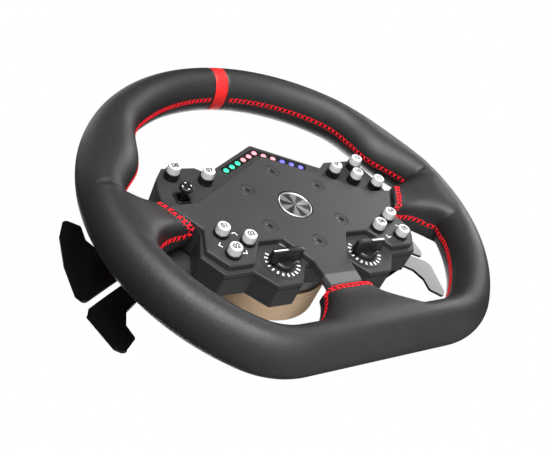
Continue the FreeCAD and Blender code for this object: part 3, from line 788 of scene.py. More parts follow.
# ---- geometry node helpers -------------------------------------------------------------------------------
class Pattern:
    """A geometry node tree that repeats something and ends as one plain mesh."""

    def __init__(self, name: str, sizes: dict[str, tuple[str, Union[float, int, Point]]]) -> None:
        """Starts the tree.

        Args:
            name: the tree's name.
            sizes: named inputs, each with its socket type and value.
        """
        self.tree = bpy.data.node_groups.new(name, "GeometryNodeTree")
        self.bench = Bench(self.tree)
        self.values = {}
        face = self.tree.interface
        face.new_socket(name="Geometry", in_out="INPUT", socket_type="NodeSocketGeometry")
        for label, (kind, value) in sizes.items():
            socket = face.new_socket(name=label, in_out="INPUT", socket_type=kind)
            self.values[socket.identifier] = value
        face.new_socket(name="Geometry", in_out="OUTPUT", socket_type="NodeSocketGeometry")
        self.inputs = self.bench.add("NodeGroupInput")
        self.outputs = self.bench.add("NodeGroupOutput")

    def given(self, label: str) -> bpy.types.NodeSocket:
        """The tree's own input of that name."""
        return self.inputs.outputs[label]

    def end(self, geometry: bpy.types.NodeSocket, finish: Finish) -> None:
        """Closes the tree with Realize Instances and Set Material.

        Args:
            geometry: what the tree made.
            finish: what it is made of.
        """
        real = self.bench.add("GeometryNodeRealizeInstances", None, {"Geometry": geometry})
        dressed = self.bench.add("GeometryNodeSetMaterial", None, {"Geometry": real.outputs[0]})
        dressed.inputs["Material"].default_value = finish.material()
        self.tree.links.new(dressed.outputs[0], self.outputs.inputs["Geometry"])

    def make(self, piece: bpy.types.Object, crease: float = 32.0) -> bpy.types.Object:
        """Runs the tree on a piece and leaves a plain mesh.

        Args:
            piece: the piece whose mesh is the tree's input.
            crease: edges sharper than this many degrees stay sharp.

        Returns:
            The same piece.
        """
        modifier = piece.modifiers.new("pattern", "NODES")
        modifier.node_group = self.tree
        for identifier, value in self.values.items():
            modifier[identifier] = value
        bake_modifiers(piece)
        tidy(piece, crease, flip=False)
        return piece


def point_piece(name: str, points: Sequence[Point], finish: Finish,
                ways: Optional[dict[str, Sequence[Point]]] = None) -> bpy.types.Object:
    """A piece of loose points for a pattern to work on.

    Args:
        name: its name.
        points: its points.
        finish: what the pattern will be made of.
        ways: vector attributes, one value to each point.

    Returns:
        The piece.
    """
    mesh = bpy.data.meshes.new(name)
    mesh.from_pydata([tuple(p) for p in points], [], [])
    for label, values in (ways or {}).items():
        attribute = mesh.attributes.new(label, "FLOAT_VECTOR", "POINT")
        attribute.data.foreach_set("vector", np.array(values, np.float32).ravel())
    piece = bpy.data.objects.new(name, mesh)
    bpy.context.scene.collection.objects.link(piece)
    mesh.materials.append(finish.material())
    return piece


def repeat_on_points(name: str, points: Sequence[Point], unit: bpy.types.Object, finish: Finish,
                     turns: Optional[Sequence[float]] = None) -> bpy.types.Object:
    """Repeats a unit, modelled at the origin with its axis along Y, at each point.

    Args:
        name: the finished piece's name.
        points: where each copy goes.
        unit: the piece to repeat; it is removed afterwards.
        finish: what it is made of.
        turns: how far each copy is turned about Y, in radians.

    Returns:
        The finished piece.
    """
    angles = [(0.0, a, 0.0) for a in (turns or [0.0] * len(points))]
    piece = point_piece(name, points, finish, {"turn": angles})
    pattern = Pattern(name + "_pattern", {"Size": ("NodeSocketFloat", 1.0)})
    bench = pattern.bench
    source = bench.add("GeometryNodeObjectInfo", {"transform_space": "ORIGINAL"}, {"Object": unit})
    turn = bench.add("GeometryNodeInputNamedAttribute", {"data_type": "FLOAT_VECTOR"}, {"Name": "turn"})
    copies = bench.add("GeometryNodeInstanceOnPoints", None, {
        "Points": pattern.given("Geometry"), "Instance": source.outputs["Geometry"],
        "Rotation": turn.outputs["Attribute"], "Scale": pattern.given("Size")})
    pattern.end(copies.outputs[0], finish)
    pattern.make(piece)
    bpy.data.objects.remove(unit)
    return piece


def even_steps(route: Sequence[Vector], pitch: float) -> list[Vector]:
    """Points at an even pitch along a route.

    Args:
        route: the route's corners.
        pitch: the distance wanted, met to the nearest whole number of steps.

    Returns:
        The points, ends included.
    """
    corners = np.array([tuple(p) for p in route])
    runs = np.concatenate([[0], np.cumsum(np.linalg.norm(np.diff(corners, axis=0), axis=1))])
    spots = np.linspace(0, runs[-1], max(2, round(runs[-1] / pitch)) + 1)
    return [Vector([float(np.interp(s, runs, corners[:, c])) for c in range(3)]) for s in spots]


# ---- the rim ---------------------------------------------------------------------------------------------
@dataclass
class Rim:
    """Leather grip with its thumb rests and padded spokes, the centre band and the stitching."""

    half_width: float = 14.3 * MM
    corner: float = 47.6 * MM
    thumb_rise: float = 11.5 * MM
    thumb_low: float = 9.0
    thumb_high: float = 49.0
    thumb_lean: float = 0.8
    rings: int = 420
    around: int = 60
    pad_rings: int = 26
    pad_corners: int = 44
    pad_square: float = 5.0
    band_rings: int = 12
    band_around: int = 96
    band_roll: float = 0.55 * MM
    band_wall: float = 0.9 * MM
    band_seat: float = 0.7 * MM
    voxel: float = 1.2 * MM
    smoothing: int = 9
    band_half: float = 5.3 * MM
    band_gap: float = 2.8 * MM
    foam_voxel: float = 2.6 * MM
    leather_wall: float = 2.2 * MM
    seam_depth: float = 0.45 * MM
    crease_depth: float = 0.9 * MM
    lay_step: float = 1.0 * MM
    stitch_pitch: float = 3.9 * MM
    stitch_width: float = 4.3 * MM
    thread: float = 0.40 * MM
    thread_lean: float = 0.34
    thread_sink: float = 0.15 * MM
    thread_lift: float = 0.6 * MM
    seam_reach: float = 1.5 * MM
    crease_reach: float = 1.6 * MM
    crease_steps: int = 40
    foot_half: float = 16.8
    foot_top: float = -76.3
    proud: float = -2.6
    side_sections: tuple = (
        (98.0, 11.0, 85.0, -12.2, -2.0, 16.5, 3.0),
        (106.0, 12.8, 97.0, -12.6, -2.6, 18.5, 4.8),
        (115.0, 14.8, 107.5, -15.5, -5.4, 20.5, 6.2),
        (123.0, 17.0, 115.0, -22.5, -9.4, 21.0, 6.0),
        (131.0, 20.0, 122.0, -33.0, -12.6, 21.0, 4.2),
        (138.0, 24.0, 131.0, -44.0, -13.4, 20.5, 1.8),
    )
    foot_sections: tuple = (
        (18.3, -75.0, -2.0, 15.0, 2.0),
        (19.5, -80.5, -2.6, 15.0, 3.0),
        (24.0, -88.0, -5.4, 15.5, 4.0),
        (33.0, -97.0, -9.4, 17.0, 4.0),
        (45.0, -106.0, -12.6, 18.5, 2.0),
        (55.0, -112.5, -13.4, 20.0, 0.0),
    )
    skin: Optional[BVHTree] = field(default=None, repr=False)

    def __post_init__(self) -> None:
        """Takes the sizes that the frame fixes."""
        low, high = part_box("rim_leather")
        self.half_depth = (high.y - low.y) / 2
        self.y = (high.y + low.y) / 2
        self.face_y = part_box("faceplate")[0].y
        self.radius = high.x - self.half_width
        self.flat = -low.z - self.half_width
        self.corner_z = self.corner - self.flat
        self.corner_x = math.sqrt((self.radius - self.corner) ** 2 - self.corner_z ** 2)
        self.corner_angle = math.atan2(self.corner_z, self.corner_x)

    def rise(self, angle: float) -> float:
        """How far the thumb rest swells inwards.

        Args:
            angle: above +X, in radians.

        Returns:
            The swelling, in metres.
        """
        above = math.degrees(angle)
        above = 180 - above if above > 90 else above
        share = (above - self.thumb_low) / (self.thumb_high - self.thumb_low)
        return self.thumb_rise * math.sin(math.pi * share ** self.thumb_lean) ** 2 if 0 < share < 1 else 0.0

    def centreline(self) -> list[tuple[Vector, Vector, float]]:
        """The grip's centreline, anticlockwise from the lower right corner.

        Returns:
            (point, outward direction, thumb rise) at even steps.
        """
        sweep = math.pi - 2 * self.corner_angle
        turn = math.pi / 2 + self.corner_angle
        legs = (self.radius * sweep, self.corner * turn, 2 * self.corner_x, self.corner * turn)
        total = sum(legs)
        stations = []
        for k in range(self.rings):
            run = total * k / self.rings
            if run < legs[0]:
                angle = self.corner_angle + run / self.radius
                out = Vector((math.cos(angle), 0, math.sin(angle)))
                stations.append((out * self.radius, out, self.rise(angle)))
                continue
            run -= legs[0]
            if run < legs[1]:
                angle = math.pi - self.corner_angle + run / self.corner
                out = Vector((math.cos(angle), 0, math.sin(angle)))
                stations.append((Vector((-self.corner_x, 0, self.corner_z)) + out * self.corner, out, 0.0))
                continue
            run -= legs[1]
            if run < legs[2]:
                stations.append((Vector((run - self.corner_x, 0, -self.flat)), Vector((0, 0, -1)), 0.0))
                continue
            run -= legs[2]
            angle = -math.pi / 2 + run / self.corner
            out = Vector((math.cos(angle), 0, math.sin(angle)))
            stations.append((Vector((self.corner_x, 0, self.corner_z)) + out * self.corner, out, 0.0))
        return stations

    def grip_point(self, station: tuple[Vector, Vector, float], angle: float, skin: float = 0.0) -> Vector:
        """A point on the grip's surface.

        Args:
            station: a step of the centreline.
            angle: round the grip, 0 outwards and half a turn inwards.
            skin: how far above the surface.

        Returns:
            The point.
        """
        centre, out, rise = station
        reach = self.half_width + rise / 2 + skin
        place = centre - out * (rise / 2) + out * (reach * math.cos(angle))
        return place + Vector((0, self.y - (self.half_depth + skin) * math.sin(angle), 0))

    def grip_mesh(self) -> bpy.types.Object:
        """The plain D-shaped tube.

        Returns:
            The tube.
        """
        verts = []
        for station in self.centreline():
            verts += [self.grip_point(station, 2 * math.pi * j / self.around) for j in range(self.around)]
        faces = []
        for i in range(self.rings):
            onward = (i + 1) % self.rings
            for j in range(self.around):
                after = (j + 1) % self.around
                faces.append((i * self.around + j, i * self.around + after, onward * self.around + after,
                              onward * self.around + j))
        return new_piece("grip", verts, faces, LEATHER)

    def pad_mesh(self, name: str, ends: Sequence[tuple], both: bool) -> bpy.types.Object:
        """A padded spoke end, lofted through rounded sections.

        Args:
            name: its name.
            ends: (one edge, other edge, front depth, back depth, pocket) of each section. The other edge
                swells by the pocket towards the back, which leaves a scooped wall.
            both: whether the one edge swells too.

        Returns:
            The closed pad.
        """
        sections = self.pad_rings
        corners = self.pad_corners
        keys = np.array([[a.x, a.z, b.x, b.z, front, back, pocket] for a, b, front, back, pocket in ends])
        spots = np.linspace(0, len(keys) - 1, sections)
        rows = np.array([np.interp(spots, range(len(keys)), keys[:, c]) for c in range(7)]).T
        for _ in range(3):
            rows[1:-1] = (rows[:-2] + 2 * rows[1:-1] + rows[2:]) / 4
        verts = []
        for ax, az, bx, bz, front, back, pocket in rows:
            middle = Vector(((ax + bx) / 2, 0, (az + bz) / 2))
            half = Vector(((ax - bx) / 2, 0, (az - bz) / 2))
            centre_y = self.face_y + (front + back) / 2
            deep = (back - front) / 2
            for j in range(corners):
                angle = 2 * math.pi * j / corners
                c, s = math.cos(angle), math.sin(angle)
                square = (abs(c) ** self.pad_square + abs(s) ** self.pad_square) ** (-1 / self.pad_square)
                swell = pocket * ((s * square + 1) / 2) ** 1.4 * c * square
                spot = middle + half * (c * square)
                if c < 0 or both:
                    spot += half.normalized() * swell
                verts.append((spot.x, centre_y + deep * s * square, spot.z))
        faces = [tuple(range(corners)), tuple(range(len(verts) - 1, len(verts) - corners - 1, -1))]
        for i in range(sections - 1):
            for j in range(corners):
                after = (j + 1) % corners
                onward = (i + 1) * corners
                faces.append((i * corners + j, i * corners + after, onward + after, onward + j))
        return new_piece(name, verts, faces, LEATHER)

    def pads(self) -> list[bpy.types.Object]:
        """The two side pads and the foot pad.

        Returns:
            The three pads.
        """
        made = []
        for side in Side:
            way = side.value
            ends = [(Vector((way * tx, 0, tz)) * MM, Vector((way * bx, 0, bz)) * MM, front * MM, back * MM,
                     pocket * MM) for tx, tz, bx, bz, front, back, pocket in self.side_sections]
            made.append(self.pad_mesh("pad_" + side.word, ends, False))
        ends = [(Vector((x, 0, z)) * MM, Vector((-x, 0, z)) * MM, front * MM, back * MM, pocket * MM)
                for x, z, front, back, pocket in self.foot_sections]
        made.append(self.pad_mesh("pad_foot", ends, True))
        return made

    def build_leather(self) -> bpy.types.Object:
        """Joins grip and pads into one skin, then sinks the seams and the band's seat into it.

        Returns:
            The leather.
        """
        piece = self.grip_mesh()
        shape = bmesh.new()
        shape.from_mesh(piece.data)
        for pad in self.pads():
            shape.from_mesh(pad.data)
            bpy.data.objects.remove(pad)
        shape.to_mesh(piece.data)
        shape.free()
        piece.name = "rim_leather_cover"
        melt = piece.modifiers.new("melt", "REMESH")
        melt.mode = "VOXEL"
        melt.voxel_size = self.voxel
        ease = piece.modifiers.new("ease", "SMOOTH")
        ease.factor = 0.5
        ease.iterations = self.smoothing
        bake_modifiers(piece)
        self.rest_skin(piece)
        self.sink_seams(piece)
        tidy(piece, 180.0)
        self.rest_skin(piece)
        return piece

    def build_foam(self, leather: bpy.types.Object) -> bpy.types.Object:
        """The foam under the leather, the same shape set inwards.

        Args:
            leather: the finished leather.

        Returns:
            The foam.
        """
        piece = bpy.data.objects.new("foam_core", leather.data.copy())
        bpy.context.scene.collection.objects.link(piece)
        piece.data.materials.clear()
        piece.data.materials.append(FOAM.material())
        melt = piece.modifiers.new("melt", "REMESH")
        melt.mode = "VOXEL"
        melt.voxel_size = self.foam_voxel
        inward = piece.modifiers.new("inward", "DISPLACE")
        inward.mid_level = 0.0
        inward.strength = -self.leather_wall
        bake_modifiers(piece)
        tidy(piece, 180.0)
        return piece

    def rest_skin(self, piece: bpy.types.Object) -> None:
        """Keeps the leather's surface, for seams and thread to lie on.

        Args:
            piece: the leather.
        """
        graph = bpy.context.evaluated_depsgraph_get()
        bpy.context.view_layer.update()
        self.skin = BVHTree.FromObject(piece, graph)

    def on_skin(self, point: Vector) -> tuple[Vector, Vector]:
        """The leather's nearest point.

        Args:
            point: where to look from.

        Returns:
            The point on the leather and the direction out of it.
        """
        place, normal, _, _ = self.skin.find_nearest(point)
        return place, normal

    def fan(self, centre: tuple[float, float], start: float, end: float,
            depths: Sequence[tuple[float, float]]) -> list[Vector]:
        """Where a turning ray from inside a window meets the leather.

        Args:
            centre: x and z of the ray's start, in millimetres.
            start: its first direction, in degrees above +X.
            end: its last direction.
            depths: (direction, depth behind the faceplate's front) along the way.

        Returns:
            The points met.
        """
        steps = round(abs(end - start) / 1.2)
        met = []
        for k in range(steps + 1):
            angle = start + (end - start) * k / steps
            depth = float(np.interp(angle, *zip(*sorted(depths))))
            origin = Vector((centre[0] * MM, self.face_y + depth * MM, centre[1] * MM))
            way = Vector((math.cos(math.radians(angle)), 0, math.sin(math.radians(angle))))
            place = self.skin.ray_cast(origin, way)[0]
            if place:
                met.append(place)
        return met

    def seam_routes(self) -> dict[str, list[Vector]]:
        """Every line of stitches, before it is laid on the leather.

        Returns:
            Points along each route, by name.
        """
        def way(x: float, z: float, depth: float) -> Vector:
            """A place in metres from millimetres across, up and behind the faceplate's front."""
            return Vector((x * MM, self.face_y + depth * MM, z * MM))

        seam = (self.y - self.face_y) / MM
        end_line = [way(101.3, 8.2, self.proud), way(90.4, -11.2, self.proud), way(86.8, -13.8, 0.5),
                    way(85.8, -15.2, 4.0)]
        foot_line = [way(19.5, -77.5, 5.0), way(19.5, -76.5, 1.0),
                     way(self.foot_half, self.foot_top, self.proud)]
        window = self.fan((80, -55), 79, -161, ((79, 8.0), (45, 8.0), (10, seam), (-115, seam), (-145, 4.0),
                                                (-161, 4.0)))
        on_pads = [p for p in window if p.z < -6.0 * MM and p.x > 17.0 * MM]
        lower = end_line + on_pads + foot_line
        top = self.fan((0, 48), -14.5, 194.5, ((-14.5, seam), (194.5, seam)))
        across = [way(-self.foot_half + 2 * self.foot_half * k / 8, self.foot_top, self.proud)
                  for k in range(9)]
        return {"top": top, "foot": across, "lower_right": lower,
                "lower_left": [Vector((-p.x, p.y, p.z)) for p in lower]}

    def crease_points(self) -> list[tuple[Vector, float]]:
        """The creases where the thumb rests run into the spokes.

        Returns:
            Points along them, each with its depth.
        """
        made = []
        for side in Side:
            for k in range(self.crease_steps):
                t = k / (self.crease_steps - 1)
                x = 124.5 + 22.0 * t
                z = 17.5 + 2.0 * t + 1.5 * t * t
                spot = Vector((side.value * x * MM, self.face_y - 14.0 * MM, z * MM))
                made.append((self.on_skin(spot)[0], self.crease_depth * (1 - t) ** 0.7))
        return made

    def laid(self, route: Sequence[Vector], pitch: float) -> list[tuple[Vector, Vector, Vector]]:
        """Lays a route on the leather at an even pitch.

        Args:
            route: the route's points.
            pitch: distance between the results.

        Returns:
            (place, direction out, direction along) at each step.
        """
        points = np.array([tuple(self.on_skin(p)[0]) for p in even_steps(route, self.lay_step)])
        for _ in range(4):
            points[1:-1] = (points[:-2] + 2 * points[1:-1] + points[2:]) / 4
        even = even_steps([Vector(p) for p in points], pitch)
        steps = []
        for k, spot in enumerate(even):
            place, out = self.on_skin(spot)
            along = (even[min(k + 2, len(even) - 1)] - even[max(k - 2, 0)]).normalized()
            steps.append((place, out, (along - out * along.dot(out)).normalized()))
        return steps

    def sink_seams(self, piece: bpy.types.Object) -> None:
        """Pushes the leather in along its seams, under the centre band and in the creases of the spokes.

        Args:
            piece: the leather.
        """
        lines = [[s[0] for s in self.laid(route, self.lay_step)] for route in self.seam_routes().values()]
        spots = np.array([tuple(p) for line in lines for p in line])
        mesh = piece.data
        count = len(mesh.vertices)
        co = np.empty(count * 3, np.float32)
        mesh.vertices.foreach_get("co", co)
        co = co.reshape(-1, 3).astype(float)
        normals = np.empty(count * 3, np.float32)
        mesh.vertices.foreach_get("normal", normals)
        normals = normals.reshape(-1, 3).astype(float)
        nearest = np.full(count, 1.0)
        for start in range(0, len(spots), 50):
            part = spots[start:start + 50]
            gaps = np.linalg.norm(co[:, None, :] - part[None, :, :], axis=2).min(axis=1)
            nearest = np.minimum(nearest, gaps)
        sink = self.seam_depth * np.exp(-(nearest / self.seam_reach) ** 2)
        for spot, depth in self.crease_points():
            gap = np.linalg.norm(co - np.array(spot), axis=1)
            sink = np.maximum(sink, depth * np.exp(-(gap / self.crease_reach) ** 2))
        in_band = (np.abs(co[:, 0]) < self.band_half + 0.4 * MM) & (co[:, 2] > 0)
        sink = np.where(in_band, np.maximum(sink, self.band_seat), sink)
        co -= normals * sink[:, None]
        mesh.vertices.foreach_set("co", co.astype(np.float32).ravel())
        mesh.update()

    def build_band(self) -> bpy.types.Object:
        """The red band round the top of the grip, with rolled edges.

        Returns:
            The band.
        """
        across = self.band_rings
        around = self.band_around
        verts = []
        for i in range(across + 1):
            share = -1 + 2 * i / across
            x = share * self.band_half
            roll = -self.band_roll * max(0.0, (abs(share) - 0.72) / 0.28) ** 2
            for j in range(around):
                angle = 2 * math.pi * j / around
                station = (Vector((x, 0, math.sqrt(self.radius ** 2 - x ** 2))), Vector((0, 0, 1)), 0.0)
                verts.append(self.grip_point(station, angle, roll - 0.02 * MM))
        faces = []
        for i in range(across):
            for j in range(around):
                after = (j + 1) % around
                onward = (i + 1) * around
                faces.append((i * around + j, i * around + after, onward + after, onward + j))
        piece = new_piece("centre_band_cover", verts, faces, RED_LEATHER)
        wall = piece.modifiers.new("wall", "SOLIDIFY")
        wall.thickness = self.band_wall
        wall.offset = -1.0
        bake_modifiers(piece)
        tidy(piece, 60.0)
        return piece

    def stitch_pattern(self, name: str) -> Pattern:
        """The node tree that lays a crossed pair of threads at each point.

        Args:
            name: the tree's name.

        Returns:
            The pattern.
        """
        pattern = Pattern(name, {
            "Width": ("NodeSocketFloat", self.stitch_width), "Pitch": ("NodeSocketFloat", self.stitch_pitch),
            "Thread": ("NodeSocketFloat", self.thread), "Lift": ("NodeSocketFloat", self.thread_lift)})
        bench = pattern.bench

        def part_of(label: str, share: float) -> bpy.types.NodeSocket:
            """A share of one of the tree's inputs."""
            values = {0: pattern.given(label), 1: share}
            return bench.add("ShaderNodeMath", {"operation": "MULTIPLY"}, values).outputs[0]

        threads = []
        for sign in (1.0, -1.0):
            start = bench.add("ShaderNodeCombineXYZ", None, {
                "X": part_of("Pitch", -self.thread_lean), "Y": part_of("Width", -0.5 * sign),
                "Z": -self.thread_sink})
            middle = bench.add("ShaderNodeCombineXYZ", None, {"Z": part_of("Lift", 1.5 + 0.6 * sign)})
            end = bench.add("ShaderNodeCombineXYZ", None, {
                "X": part_of("Pitch", self.thread_lean), "Y": part_of("Width", 0.5 * sign),
                "Z": -self.thread_sink})
            arc = bench.add("GeometryNodeCurveQuadraticBezier", None, {
                "Resolution": 6, "Start": start.outputs[0], "Middle": middle.outputs[0],
                "End": end.outputs[0]})
            section = bench.add("GeometryNodeCurvePrimitiveCircle", None, {
                "Resolution": 6, "Radius": pattern.given("Thread")})
            solid = bench.add("GeometryNodeCurveToMesh", None, {
                "Curve": arc.outputs[0], "Profile Curve": section.outputs["Curve"], "Fill Caps": True})
            threads.append(solid.outputs[0])
        cross = bench.add("GeometryNodeJoinGeometry")
        for thread in threads:
            bench.tree.links.new(thread, cross.inputs[0])
        named = {"data_type": "FLOAT_VECTOR"}
        out = bench.add("GeometryNodeInputNamedAttribute", named, {"Name": "out"})
        along = bench.add("GeometryNodeInputNamedAttribute", named, {"Name": "along"})
        turn = bench.add("FunctionNodeAxesToRotation", {"primary_axis": "Z", "secondary_axis": "X"}, {
            "Primary Axis": out.outputs["Attribute"], "Secondary Axis": along.outputs["Attribute"]})
        copies = bench.add("GeometryNodeInstanceOnPoints", None, {
            "Points": pattern.given("Geometry"), "Instance": cross.outputs[0], "Rotation": turn.outputs[0]})
        pattern.end(copies.outputs[0], THREAD)
        return pattern

    def build_stitches(self) -> list[bpy.types.Object]:
        """Every row of stitches, laid on the finished leather.

        Returns:
            One piece to each row.
        """
        made = []
        for name, route in self.seam_routes().items():
            steps = self.laid(route, self.stitch_pitch)
            if name == "top":
                steps = [s for s in steps if abs(s[0].x) > self.band_half + self.band_gap]
            piece = point_piece("stitches_" + name, [s[0] for s in steps], THREAD,
                                {"out": [s[1] for s in steps], "along": [s[2] for s in steps]})
            made.append(self.stitch_pattern("stitch_" + name).make(piece, 60.0))
        return made

    def build(self) -> None:
        """Makes the rim's pieces and hands them to the frame."""
        leather = self.build_leather()
        put(leather, Body.WHEEL, ["rim_leather"])
        put(self.build_foam(leather), Body.WHEEL, ["rim_foam"])
        put(self.build_band(), Body.WHEEL, ["centre_band"])
        for stitches in self.build_stitches():
            put(stitches, Body.WHEEL)


# ---- faceplate, badge and screws -------------------------------------------------------------------------
@dataclass
class Faceplate:
    """Satin metal plate with six flush screws, with shade painted into their sockets, and a plain badge whose
    spun-metal glints are painted.
    """

    edge: float = 0.25 * MM
    screw_count: int = 6
    screw_circle: float = 35.0 * MM
    head_radius: float = 5.5 * MM
    head_ease: float = 0.3 * MM
    head_sink: float = 0.06 * MM
    socket_radius: float = 1.75 * MM
    socket_depth: float = 1.8 * MM
    # the black disc set in each screw socket is painted shade; these are its front and back
    plug_front: float = 0.5 * MM
    plug_back: float = 1.2 * MM
    badge_depth: float = 1.4 * MM
    ring_proud: float = 0.35 * MM
    ring_outer: float = 12.7 * MM
    ring_inner: float = 11.25 * MM

    def __post_init__(self) -> None:
        """Takes the plate's front from the frame."""
        self.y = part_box("faceplate")[0].y

    def screw(self) -> bpy.types.Object:
        """One flush head with a six-sided socket.

        Returns:
            The head, at the origin.
        """
        segments = 48
        verts, faces = [], []
        rows = ((self.head_radius, 0.6 * MM), (self.head_radius, 0.2 * MM),
                (self.head_radius - self.head_ease, 0.0), (self.socket_radius + 0.5 * MM, 0.0),
                (self.socket_radius, 0.25 * MM), (self.socket_radius, self.socket_depth),
                (0.02 * MM, self.socket_depth))
        for row, (radius, y) in enumerate(rows):
            for k in range(segments):
                angle = 2 * math.pi * k / segments
                edge = math.cos(math.pi / 6) / math.cos((angle % (math.pi / 3)) - math.pi / 6)
                reach = radius * edge / math.cos(math.pi / 6) if row >= 4 else radius
                verts.append((reach * math.cos(angle), y, reach * math.sin(angle)))
        for row in range(len(rows) - 1):
            for k in range(segments):
                after = (k + 1) % segments
                onward = (row + 1) * segments
                faces.append((row * segments + k, onward + k, onward + after, row * segments + after))
        faces.append(tuple(len(verts) - segments + k for k in range(segments)))
        faces.append(tuple(range(segments)))
        return new_piece("screw_unit", verts, faces, SCREW)

    def build_screws(self) -> None:
        """The six heads, and a black disc in each socket that is painted shade."""
        places = []
        for k in range(self.screw_count):
            angle = math.radians(30 + 360 / self.screw_count * k)
            places.append((self.screw_circle * math.cos(angle), self.y + self.head_sink,
                           self.screw_circle * math.sin(angle)))
        put(repeat_on_points("screw_heads", places, self.screw(), SCREW), Body.WHEEL,
            ["faceplate_screws"])
        # painted shade: a black disc set inside each socket stands in for the shade in the hole
        wide = self.socket_radius * 0.98
        shade_disc = lathe("socket_unit", [(0.0, self.plug_front), (wide, self.plug_front), (wide, self.plug_back),
                                     (0.0, self.plug_back)], (0, 0), RUBBER, 6)
        put(repeat_on_points("screw_sockets", places, shade_disc, RUBBER), Body.WHEEL)

    def build_badge(self) -> None:
        """The bright ring and the disc in it, with painted spun-metal glints."""
        back = self.y + self.badge_depth
        front = self.y - self.ring_proud
        outline = [(self.ring_inner, back, 0), (self.ring_inner, front + 0.9 * MM, 0.1 * MM),
                   (self.ring_inner + 0.45 * MM, front + 0.1 * MM, 0.3 * MM),
                   (self.ring_outer - 0.4 * MM, front, 0.3 * MM),
                   (self.ring_outer, front + 0.5 * MM, 0.2 * MM), (self.ring_outer, back, 0)]
        ring = lathe("badge_bezel", rounded(outline), (0, 0), CHROME, 96, closed=True)
        put(ring, Body.WHEEL, ["badge_ring"])
        dish = [(self.ring_inner - 0.02 * MM, back), (self.ring_inner - 0.02 * MM, self.y + 0.45 * MM),
                (8 * MM, self.y + 0.3 * MM), (2.2 * MM, self.y + 0.15 * MM), (1.6 * MM, self.y - 0.1 * MM),
                (0.0, self.y - 0.15 * MM)]
        disc = lathe("badge_face", dish + [(0.0, back)], (0, 0), BADGE, 96, closed=True)
        put(disc, Body.WHEEL, ["badge_disc"])

    def build(self) -> None:
        """Makes the plate's pieces and hands them to the frame."""
        put(eased_copy("faceplate", "faceplate_cover", PLATE, self.edge), Body.WHEEL,
            ["faceplate"])
        self.build_screws()
        self.build_badge()


# ---- housing, lights and marks ---------------------------------------------------------------------------
@dataclass
class Housing:
    """Two moulded shells, the rev lights and the printed marks."""

    edge: float = 0.35 * MM
    strip_edge: float = 0.1 * MM
    lens_seat: float = 2.4 * MM
    lens_radius: float = 2.1 * MM
    lens_depth: float = 1.5 * MM
    mark_arm: float = 3.1 * MM
    mark_stroke: float = 0.6 * MM
    mark_reach: float = 11.2 * MM
    ink_lift: float = 0.03 * MM
    ink: float = 0.06 * MM

    def lens(self, radius: float) -> bpy.types.Object:
        """One domed lens.

        Args:
            radius: its radius.

        Returns:
            The lens, at the origin.
        """
        profile = [(0.0, -0.35 * MM), (radius * 0.5, -0.27 * MM), (radius * 0.85, -0.08 * MM),
                   (radius, 0.25 * MM), (radius, self.lens_depth), (0.0, self.lens_depth)]
        return lathe("lens_unit", profile, (0, 0), GREEN, 24)

    def build_lenses(self) -> None:
        """Eleven lenses, one mesh to each colour."""
        radius = self.lens_seat
        for node, finish, slot, count in (("lenses_green", GREEN, "green_lens", 3),
                                          ("lenses_red", RED, "red_lens", 5),
                                          ("lenses_blue", BLUE, "blue_lens", 3)):
            low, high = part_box(node)
            places = []
            for k in range(count):
                x = low.x + radius + (high.x - low.x - 2 * radius) * k / (count - 1)
                rise = high.z - low.z - 2 * radius
                run = (high.x - low.x) / 2 - radius
                if node == "lenses_red":
                    z = high.z - radius - rise * abs(x) / run
                else:
                    z = low.z + radius + rise * (k / (count - 1) if x < 0 else 1 - k / (count - 1))
                places.append((x, low.y, z))
            lit = repeat_on_points(node.replace("lenses", "rev_lights"), places, self.lens(self.lens_radius),
                                   finish)
            put(lit, Body.WHEEL, [node])

    def pod_marks(self) -> bpy.types.Object:
        """White corner marks between the lower pods' buttons.

        Returns:
            The marks.
        """
        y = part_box("faceplate")[0].y - self.ink_lift
        arm, stroke = self.mark_arm, self.mark_stroke
        corner_shape = [(0, 0), (arm, 0), (arm, stroke), (stroke, stroke), (stroke, arm), (0, arm)]
        unit = outlined("mark_unit", corner_shape, 0.0, self.ink, INK)
        places, turns = [], []
        for side in Side:
            spots = [centre_of(f"button_lower_{side.word}_{k}") for k in (1, 2, 3)]
            middle = sum(spots, Vector()) / 3
            for spot in spots:
                way = (middle - spot).normalized()
                corner = middle + way * self.mark_reach
                places.append((corner.x, y, corner.z))
                turns.append(-math.atan2(-way.z, -way.x) + math.radians(45))
        return repeat_on_points("pod_marks", places, unit, INK, turns)

    def build(self) -> None:
        """Makes the housing's pieces and hands them to the frame."""
        put(eased_copy("front_housing", "front_shell", HOUSING, self.edge, 3), Body.WHEEL,
            ["front_housing"])
        put(eased_copy("rear_cover", "rear_shell", HOUSING, self.edge, 3), Body.WHEEL,
            ["rear_cover"])
        put(eased_copy("light_bar", "light_strip", SMOKED, self.strip_edge), Body.WHEEL,
            ["light_bar"])
        self.build_lenses()
        put(self.pod_marks(), Body.WHEEL)


